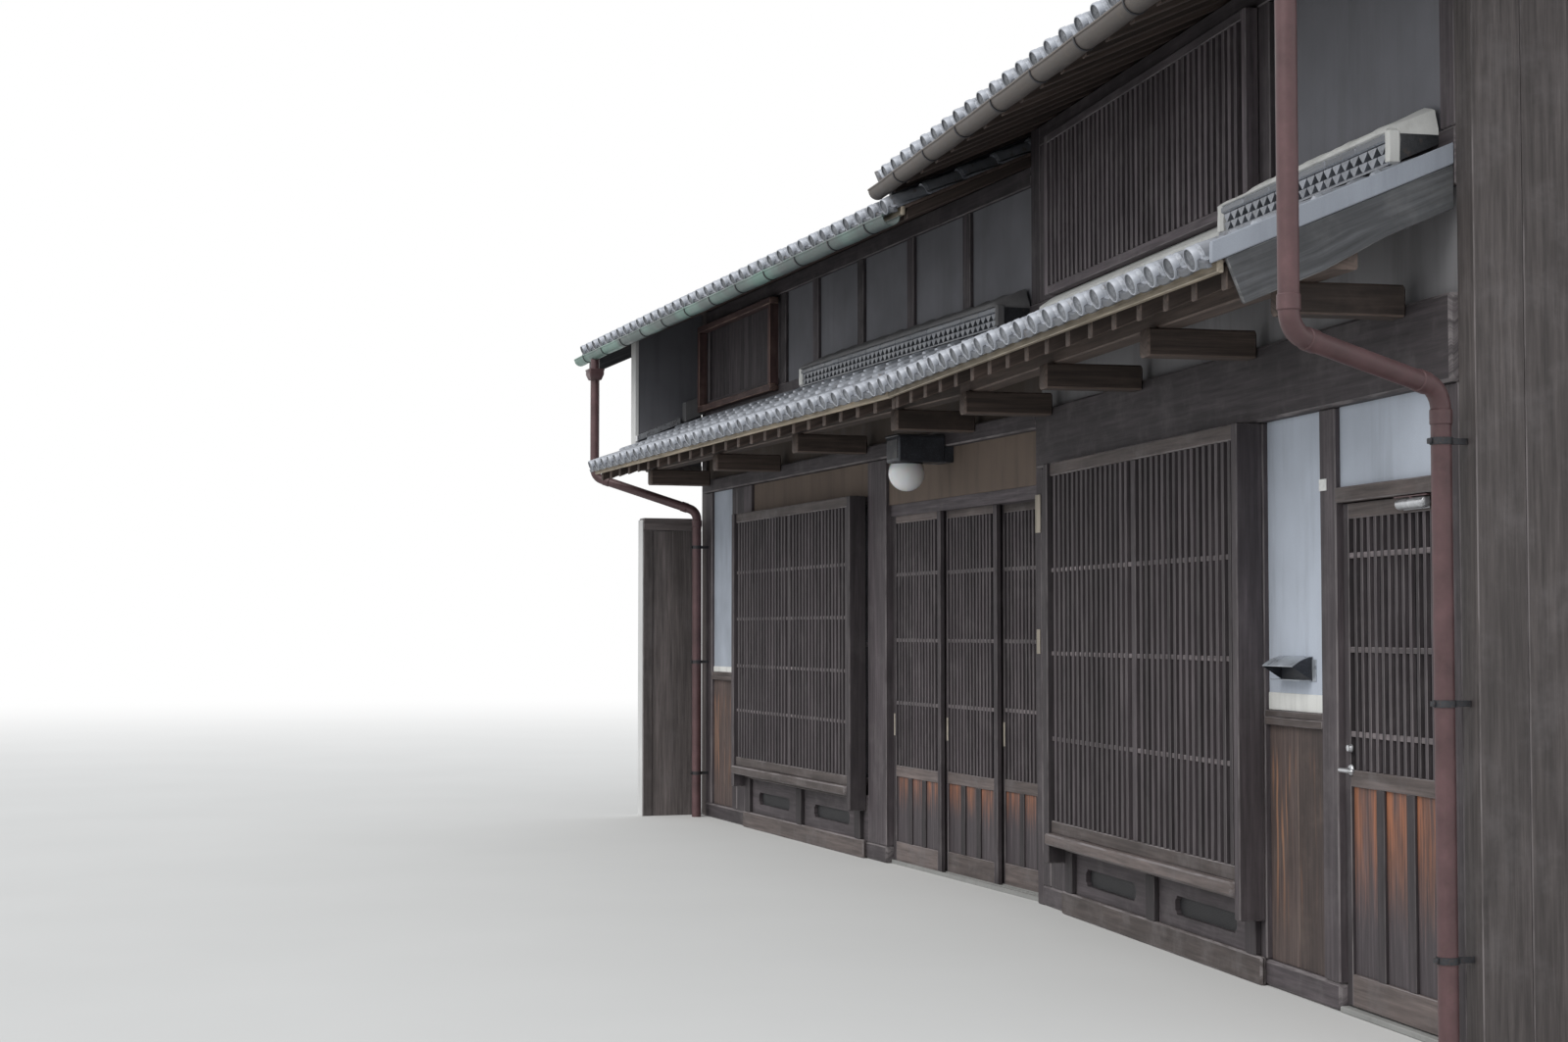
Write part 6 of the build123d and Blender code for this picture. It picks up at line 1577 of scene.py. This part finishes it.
class UpperStorey(bpy.types.Operator):
    """The upper frame, the shuttered window in its red frame and the wide upper lattice"""

    bl_idname = "townhouse.upper_storey"
    bl_label = "Upper storey"

    def execute(self, context):
        timber = choices().timber
        left, right = (UPPER_SILL, LEFT_PLATE[0]), (UPPER_SILL, RIGHT_PLATE[0])
        beam = (PENT_UNDERSIDE, UPPER_SILL)
        upper = Shell()
        upper.timbers((LEFT_END, 0.0), POST, beam, X, 0.008)
        upper.timbers((LEFT_END, PARTY[0]), POST, LEFT_PLATE, X, 0.006)
        posts = standing((-4.5, -3.78, -2.87, -1.96, -1.05), 0.11)
        upper.timbers([*posts, (LEFT_END, -6.40)], POST, left, Z, timber.chamfer)
        upper.timbers(PARTY, (0.0, FRAME_BACK), (UPPER_SILL, RIGHT_PLATE[1]), Z, 0.006)
        upper.timbers(PARTY, (0.12, FRAME_BACK), (BEAM_TOP, UPPER_SILL), Z, 0.006)
        upper.piece("left_upper_frame", "frame", "upper_frame_left")

        upper = Shell(RIGHT, 0.0)
        upper.timbers((PAST_BEND, RIGHT_END), POST, beam, X, 0.008)
        upper.timbers((PAST_BEND, RIGHT_END), POST, RIGHT_PLATE, X, 0.006)
        posts = ((0.0, 0.125), (0.127, UPPER_LATTICE[0]), (UPPER_LATTICE[1], 3.08), (4.57, RIGHT_END))
        upper.timbers(posts, POST, right, Z, 0.005)
        upper.slab((-0.03, 0.001), POST, right, Z, 0.001)
        upper.piece("right_upper_frame", "frame", "upper_frame_right")

        shutter = Shell()
        opening, face, fine = (-6.40, -4.555), (-0.07, 0.0), 0.0005
        shutter.timbers(parts_of(opening, 0.095, 0.002), BOARD, left, Z, 0.003, fine)
        shutter.slab(opening, BACKING, left, X, 0.002)
        shutter.timbers(opening, (0.0, BOARD[0]), (UPPER_SILL, 3.35), X)
        shutter.timbers((-6.50, -4.60), face, ((3.256, 3.306), (3.90, 3.95)), X, 0.006, slot=1)
        shutter.timbers(((-6.50, -6.45), (-4.65, -4.60)), face, (3.306, 3.90), Z, 0.005, slot=1)
        shutter.piece("shutter_window", "bars, red", "shutter_window", slot="red_timber")

        grille = Shell(RIGHT)
        inner, sides = framed(UPPER_LATTICE, STILE)
        clear, rails = framed(right, STILE)
        box = (-0.06, 0.0)
        grille.timbers(sides, box, right, Z)
        grille.timbers(inner, box, rails, X)
        lattice(grille, inner, box[0], clear, 38, (3.56, 3.83), timber.bar_chamfer, 0.036)
        grille.slab(parts_of(UPPER_LATTICE, 0.34), (0.06, 0.09), right, Z, 0.003, 2)
        grille.piece("upper_lattice", "grille, grille, deep", "upper_lattice")
        return {"FINISHED"}


class Infill(bpy.types.Operator):
    """Plaster and clay between the timbers, and the board dados under the panels"""

    bl_idname = "townhouse.infill"
    bl_label = "Infill"

    def execute(self, context):
        repaint({
            "clay_walls": "clay", "plaster_panels": "plaster", "upper_infill": "infill",
            "upper_plaster": "grey plaster", "party_wall": "grey plaster",
            "ground_floor": "threshold stone", "upper_floor": "clay",
        })
        dado = Shell()
        levels = (GROUND_BEAM, DADO_TOP - 0.06)
        for dado.wing, span in ((LEFT, LEFT_PANEL), (RIGHT, RIGHT_PANEL)):
            dado.timbers(parts_of(span, 0.28, 0.002), BOARD, levels, Z, 0.003)
            dado.slab(span, BACKING, levels, Z, 0.001, 1)
            dado.timbers(span, (0.0, BACKING[1]), (levels[1], 1.132), X, 0.003, slot=1)
            dado.timbers(span, (0.004, BACKING[1]), (1.133, DADO_TOP), X, 0.003, slot=1)
        dado.piece("dados", "dado, sill", "dado_boards", slot="board_siding")
        skirting = Shell()
        for skirting.wing, panel, gap, front, top in (
            (RIGHT, RIGHT_PANEL, 0.001, 0.020, 1.235), (LEFT, LEFT_PANEL, 0.002, 0.018, 1.205),
        ):
            x = (panel[0] + gap, panel[1] - gap)
            skirting.timbers(x, (front, 0.028), (DADO_TOP + 0.001, top), X, 0.003, 0.0008)
        skirting.piece("plaster_skirting", "mortar", slot="pale_plaster")
        return {"FINISHED"}


def gable_wall(shell, x, eave):
    """Upright boards of a gable wall; each runs from the ground to the roof's underside.

    They are made with a height of one and every point's z is then multiplied by the
    roof's height at the point's own y.
    """
    def grow(rings):
        """Points raised in step, so that what is one high ends at the roof's underside."""
        y = rings[..., 1]
        rings[..., 2] *= roof_top(eave, np.minimum(y, DEPTH - y)) - DECK - RAFTER[1]
        return rings

    shell.timbers(x, parts_of((0.0, DEPTH), 0.19, 0.001), (0.0, 1.0), Z, 0.004, 0.0008, shape=grow)


class Walls(bpy.types.Operator):
    """Plain boarded side and back walls, the back windows and the sleeve walls"""

    bl_idname = "townhouse.walls"
    bl_label = "Walls"

    def execute(self, context):
        for title, wing, x, eave in (
            ("left", LEFT, (-LEFT_WIDTH, LEFT_END), LEFT_EAVE),
            ("right", RIGHT, (RIGHT_END, RIGHT_WIDTH), RIGHT_EAVE),
        ):
            wall = Shell(wing)
            gable_wall(wall, x, eave)
            wall.piece(f"{title}_side_wall", "siding", f"{title}_wall", slot="board_siding")

        back, windows = Shell(trim=0.0), Shell()
        wall, face, pane = (7.18, DEPTH), (7.22, 7.26), (7.237, 7.243)
        for wing, start, end, centre, top in (
            (LEFT, LEFT_END, PARTY[0], (LEFT_END + PARTY[0]) / 2, LEFT_PLATE[1]),
            (RIGHT, -0.83, RIGHT_END, (RIGHT_END - 0.806) / 2, RIGHT_PLATE[1]),
        ):
            back.wing = windows.wing = wing
            left, right = opening = about(centre, 1.5)
            middle = sum(opening) / 2
            walls = [((start, left), (0.0, top)), ((right, end), (0.0, top))]
            walls += [(opening, z) for z in ((0.0, 1.0), (1.9, 3.15), (3.75, top))]
            boards = [(x, wall, z) for part, z in walls for x in parts_of(part, 0.19)]
            back.timbers(*zip(*boards), Z, 0.004, 0.0008)
            for height in ((1.0, 1.9), (3.15, 3.75)):
                for light in ((left, middle), (middle, right)):
                    inner, stiles = framed(light, STILE)
                    clear, rails = framed(height, STILE)
                    windows.slab(stiles, face, height, Z, 0.003)
                    windows.slab(inner, face, rails, X, 0.003)
                    windows.slab(inner, pane, clear, X, 0.0005, 1)
        back.piece("back_wall", "siding", "back_walls", slot="board_siding")
        windows.piece("back_windows", "sill, glass", "back_windows")

        sleeve = Shell()
        shell_x, thin = framed(SLEEVE, 0.004)[0], framed(SLEEVE, 0.012)[0]
        sleeve.timbers(SLEEVE, ((-0.49, -0.41), (-0.08, 0.0)), (0.0, 2.30), Z, 0.006)
        sleeve.timbers(SLEEVE, (-0.49, 0.0), (2.30, 2.40), Y, 0.008)
        sleeve.timbers(shell_x, (-0.498, -0.489), (0.0, 2.385), Z, 0.002, slot=2)
        sleeve.timbers(thin, parts_of((-0.41, -0.08), 0.165), (0.0, 2.30), Z, 0.003)
        low, top = 2.79, roof_top(LEFT_EAVE, -0.56) - 0.08
        face = [(-0.537, low + 0.01), (-0.003, low + 0.01), (-0.003, 4.0762), (-0.537, top + 0.008)]
        sleeve.run(face, shell_x, slot=1)
        sleeve.run([(-0.56, low), (-0.535, low), (-0.535, top + 0.011), (-0.56, top)], SLEEVE, slot=2)
        sleeve.run([(-0.56, low), (0.0, low), (0.0, low + 0.04), (-0.56, low + 0.04)], SLEEVE)
        sleeve.piece("sleeve_walls", "siding, sleeve, pale plaster", "sleeve_walls", slot="grey_plaster")
        return {"FINISHED"}


class Gutters(bpy.types.Operator):
    """Half-round gutters with rolled edges, hanging in straps"""

    bl_idname = "townhouse.gutters"
    bl_label = "Gutters"

    def execute(self, context):
        fittings = choices().fittings
        y, wide = EAVE_FACE - GUTTER - 0.005, 0.014
        outer = GUTTER * arc(math.pi, 2 * math.pi, 13)
        roll = fittings.bead * arc(-0.2 * math.pi, 1.2 * math.pi, 8)
        rim, lining = roll * 0.5 + (0.049, 0.001), (outer * 0.93)[::-1]
        outline = np.concatenate([outer, rim, lining, roll + (-0.0485, 0.0)])
        strap = np.concatenate([outer * 1.095, outer[::-1]])
        for title, wing, span, eave, finish in (
            ("left", LEFT, LEFT_ROOF, LEFT_EAVE, "green copper"),
            ("right", RIGHT, RIGHT_ROOF, RIGHT_EAVE, "grey copper"),
        ):
            gutter = Shell(wing, LAP)
            z = eave - GUTTER_DROP
            hooks = evenly((span[0] + 0.3, span[1] - 0.3), 0.6)
            stations = np.arange(span[0] if wing == LEFT else -LAP - 0.1, span[1] + 0.001, 0.1)
            stations[-1] = span[1]
            phase = (stations - hooks[0]) / (hooks[1] - hooks[0])
            sag = -fittings.gutter_sag * np.sin(math.pi * phase) ** 2
            gutter.run(outline + (y, z), stations, 0.2, lift=sag)
            for x in hooks[hooks >= (-LAP + 0.05 if wing == RIGHT else span[0])]:
                gutter.run(strap + (y, z), (x, x + wide), slot=1)
                nail = (y + GUTTER, y + GUTTER + 0.005)
                gutter.slab((x, x + wide), nail, (z - 0.004, z + 0.045), Z, 0.001, 1)
            gutter.piece(f"{title}_gutter", f"{finish}, iron", f"gutter_{title}", finish.replace(" ", "_"))
        return {"FINISHED"}


def rounded_path(corners, radius, steps=7):
    """A path through corner points, each corner rounded by an arc that touches both runs."""
    path = [corners[0]]
    for before, corner, after in zip(corners, corners[1:], corners[2:]):
        inward, onward = unit(before - corner), unit(after - corner)
        half = math.acos(float(np.clip(inward @ onward, -1, 1))) / 2
        reach = radius / math.tan(half)
        centre = corner + unit(inward + onward) * radius / math.sin(half)
        start, end = corner + inward * reach - centre, corner + onward * reach - centre
        spread = math.acos(float(np.clip(start @ end / radius**2, -1, 1)))
        share = np.linspace(0, 1, steps)[:, None]
        turn = (np.sin((1 - share) * spread) * start + np.sin(share * spread) * end) / math.sin(spread)
        path += list(centre + turn)
    return np.array([*path, corners[-1]])


class Downspouts(bpy.types.Operator):
    """Both rainwater pipes with their heads, elbows, collars and wall clamps"""

    bl_idname = "townhouse.downspouts"
    bl_label = "Downspouts"

    def execute(self, context):
        head_y, foot_y = EAVE_FACE - GUTTER - 0.005, -0.10
        collar = [(0.037, -0.028), (0.0405, -0.024), (0.0405, 0.024), (0.037, 0.028)]
        strap = [(0.0375, -0.013), (0.041, -0.012), (0.041, 0.012), (0.0375, 0.013)]
        half, cut = 0.5, 0.42
        square = np.array([(-half, -cut), (-cut, -half), (cut, -half), (half, -cut)])
        square = np.concatenate([square, -square])
        head = (
            (0.148, 0.118, 0.0), (0.158, 0.128, 0.003), (0.160, 0.130, 0.010), (0.152, 0.122, 0.016),
            (0.150, 0.120, 0.045), (0.105, 0.095, 0.082), (0.088, 0.088, 0.090),
        )
        for title, wing, head_x, foot_x, eave, bends in (
            ("left", LEFT, -6.87, -6.40, LEFT_EAVE, (2.74, 2.45)),
            ("right", RIGHT, 5.10, 4.74, RIGHT_EAVE, (2.48, 2.345)),
        ):
            pipe = Shell(wing)
            outlet = eave - GUTTER_DROP - GUTTER
            corners = np.array([(head_x, head_y, outlet)] * 2 + [(foot_x, foot_y, 0.0)] * 2)
            corners[1:3, 2] = bends
            lean = unit(corners[2] - corners[1])
            normal = unit(np.array([head_y - foot_y, foot_x - head_x, 0.0]))
            pipe.along(rounded_path(corners, 0.09), arc(0, 2 * math.pi, 17)[:-1] * 0.0365, normal)
            for place, heading in (
                (corners[1] + (0, 0, 0.10), UP), (corners[1] + lean * 0.11, lean),
                (corners[2] - lean * 0.11, lean), (corners[2] - (0, 0, 0.10), UP),
            ):
                pipe.turned(place, collar, heading, 16)
            rings = [np.insert(square * (wide, deep), 2, -drop, axis=1) for wide, deep, drop in head]
            pipe.loft(rings + corners[0] - (0, 0, 0.08), 0.2)
            for level in (0.35, 1.24, 2.16):
                pipe.turned((foot_x, foot_y, level), strap, UP, 16, slot=1)
                for width, y, tall, axis, chamfer in (
                    (0.010, (-0.065, 0.0), 0.022, Y, 0.001), (0.024, (-0.150, -0.138), 0.020, X, 0.002),
                ):
                    pipe.slab(about(foot_x, width), y, about(level, tall), axis, chamfer, 1)
            pipe.piece(f"{title}_downspout", "pipe, iron", f"downspout_{title}", slot="brown_pipe")
        return {"FINISHED"}


class Fittings(bpy.types.Operator):
    """The lamp under its box, the mail hood, the blank name plates and the tag"""

    bl_idname = "townhouse.fittings"
    bl_label = "Fittings"

    def execute(self, context):
        lamp, middle, wall = Shell(), -1.42, BEAM_FACE[0]
        for width, y, z, axis, chamfer, slot in (
            (0.22, (-0.326, wall), (2.505, 2.66), Y, 0.006, 0),
            (0.22, (wall, 0.025), (2.505, LEFT_BEAM), Y, 0.002, 0),
            (0.216, (-0.336, wall), (2.656, 2.670), Y, 0.004, 1),
            (0.17, (-0.330, -0.325), (2.525, 2.640), X, 0.002, 1),
        ):
            lamp.slab(about(middle, width), y, z, axis, chamfer, slot)
        lamp.piece("lamp_box", "lamp, iron", "lamp_box", slot="grey_metal")

        globe = Shell()
        globe.turned((middle, -0.237, 2.441), 0.11 * arc(*np.radians((-86, 33.5)), 18), UP, 32)
        collar = [(0.094, -0.004), (0.098, -0.002), (0.098, 0.008)]
        globe.turned((middle, -0.237, 2.497), collar, UP, 32, slot=1)
        globe.piece("lamp_globe", "opal, iron", "lamp_globe", slot="opal_glass")

        hood = Shell(RIGHT)
        left, right, back = 3.10, 3.40, 0.025
        turn = np.linspace(0, 1, 9)
        outer = np.stack([back - 0.09 * turn, 1.39 - 0.04 * turn**1.8], axis=-1)
        under = outer - (0.0, 0.003)
        hood.run(np.concatenate([outer, under[::-1]]), (left, left + 0.004, right - 0.004, right), 0.2)
        cheek = [(back, 1.388), *under[1:], (back, 1.29)]
        for x in (left + 0.001, right - 0.004):
            hood.run(cheek, (x, x + 0.003), slot=1)
        hood.slab((left, right), (0.020, back), (1.29, 1.388), X, 0.001, 1)
        hood.slab((left + 0.004, right - 0.004), (-0.035, 0.020), (1.290, 1.294), X, 0.001)
        hood.slab((right, right + 0.035), (0.021, back), (1.287, 1.378), Z, 0.001)
        hood.piece("mail_hood", "hood, lamp", "mail_hood", slot="grey_metal")

        plates = Shell()
        for width, levels in ((0.064, (2.03, 2.24)), (0.040, (1.365, 1.50))):
            plates.slab(about(-0.035, width), (-0.008, 0.0), levels, Z, 0.0025)
        plates.piece("name_plates", "plate", "name_plates", slot="plate_wood")
        tag = Shell(RIGHT)
        tag.slab((3.532, 3.600), (-0.003, 0.0005), (2.054, 2.101), X, 0.0008)
        tag.piece("post_tag", "white", slot="grey_metal")
        return {"FINISHED"}


class Stage(bpy.types.Operator):
    """The pale floor, the soft light and the camera at the photograph's angle"""

    bl_idname = "townhouse.stage"
    bl_label = "Stage"

    def execute(self, context):
        stage = choices().stage
        scene = context.scene
        f = Finish("floor")
        sight = f.node("LightPath")
        cloud = f.noise(f.place(), 0.6, 3.0, 0.5)
        floor = tuple(stage.floor)
        base = f.ramp(cloud, [(0.3, scaled(floor, 0.97)), (0.7, floor)])
        matte = f.first("BsdfDiffuse", {"Color": base})
        white = f.first("Emission", {"Color": (1.0, 1.0, 1.0, 1.0)})
        reach = f.node("VectorMath", {0: f.place()}, operation="LENGTH").outputs["Value"]
        fade = f.times(f.range(reach, 9.0, 40.0), sight.outputs["Is Camera Ray"])
        both = f.first("MixShader", {0: fade, 1: matte, 2: white})
        f.node("OutputMaterial", {"Surface": both})
        mesh = bpy.data.meshes.new("floor")
        half = 150.0
        corners = [(-half, -half, 0.0), (half, -half, 0.0), (half, half, 0.0), (-half, half, 0.0)]
        mesh.from_pydata(corners, [], [(0, 1, 2, 3)])
        mesh.materials.append(f.material)
        linked("floor", mesh)

        scene.world = bpy.data.worlds.new("soft sky")
        f = Finish("sky", scene.world)
        sight = f.node("LightPath").outputs
        seen = f.sum("MAXIMUM", sight["Is Glossy Ray"], sight["Is Transmission Ray"])
        seen = f.sum("MAXIMUM", sight["Is Camera Ray"], seen)
        soft, white = [
            f.first("Background", {0: colour, 1: strength})
            for colour, strength in (((0.93, 0.96, 1.0, 1.0), stage.sky), ((1.0, 1.0, 1.0, 1.0), 1.0))
        ]
        either = f.first("MixShader", {0: seen, 1: soft, 2: white})
        f.node("OutputWorld", {0: either})

        sun = bpy.data.lights.new("broad lamp", "SUN")
        sun.energy = stage.lamp
        sun.angle = math.radians(50)
        sun.color = (1.0, 0.985, 0.96)
        lamp = linked("broad lamp", sun)
        lamp.rotation_euler = Vector((-0.40, 0.75, -0.90)).to_track_quat("-Z", "Y").to_euler()

        camera = bpy.data.cameras.new("camera")
        camera.sensor_width = 36.0
        camera.lens = stage.lens
        camera.clip_end = 200.0
        holder = linked("camera", camera)
        holder.location = EYE
        tilt = math.atan(HORIZON_DROP / PHOTO_FOCUS)
        ahead = math.cos(tilt)
        heading = Vector((SIGHT[0] * ahead, SIGHT[1] * ahead, math.sin(tilt)))
        holder.rotation_euler = heading.to_track_quat("-Z", "Y").to_euler()
        scene.camera = holder
        scene.view_settings.view_transform = "Standard"
        return {"FINISHED"}


class TownhousePanel(bpy.types.Panel):
    """The buttons and choices in the sidebar"""

    bl_idname = "VIEW3D_PT_townhouse"
    bl_label = "Townhouse"
    bl_space_type = "VIEW_3D"
    bl_region_type = "UI"
    bl_category = "Townhouse"

    def draw(self, context):
        layout = self.layout
        for operator in OPERATORS:
            layout.operator(operator.bl_idname)
        chosen = context.scene.townhouse
        for group in (chosen.timber, chosen.tiles, chosen.walls, chosen.fittings, chosen.stage):
            box = layout.box()
            for name in group.__annotations__:
                box.prop(group, name)


GROUPS = (TimberChoices, TileChoices, WallChoices, FittingChoices, StageChoices, HouseChoices)
OPERATORS = (
    FrontFrame, LatticeWindows, VentBases, EntryDoors, SideDoor, Infill, Walls, UpperStorey, Eaves, PentArms,
    PentTiles, MainTiles, Ridges, VergeBoards, TileBands, Gutters, Downspouts, Fittings, Stage,
)


def register():
    """Make the choices, the operators and the panel known."""
    for kind in (*GROUPS, *OPERATORS, TownhousePanel):
        bpy.utils.register_class(kind)
    bpy.types.Scene.townhouse = group_choice("Townhouse", "The house's choices", HouseChoices)


def unregister():
    """Take them away again."""
    del bpy.types.Scene.townhouse
    for kind in reversed((*GROUPS, *OPERATORS, TownhousePanel)):
        bpy.utils.unregister_class(kind)


def main():
    """Run every operator in turn."""
    register()
    mix_finishes(choices())
    for operator in OPERATORS:
        group, name = operator.bl_idname.split(".")
        getattr(getattr(bpy.ops, group), name)()


if __name__ == "__main__":
    main()
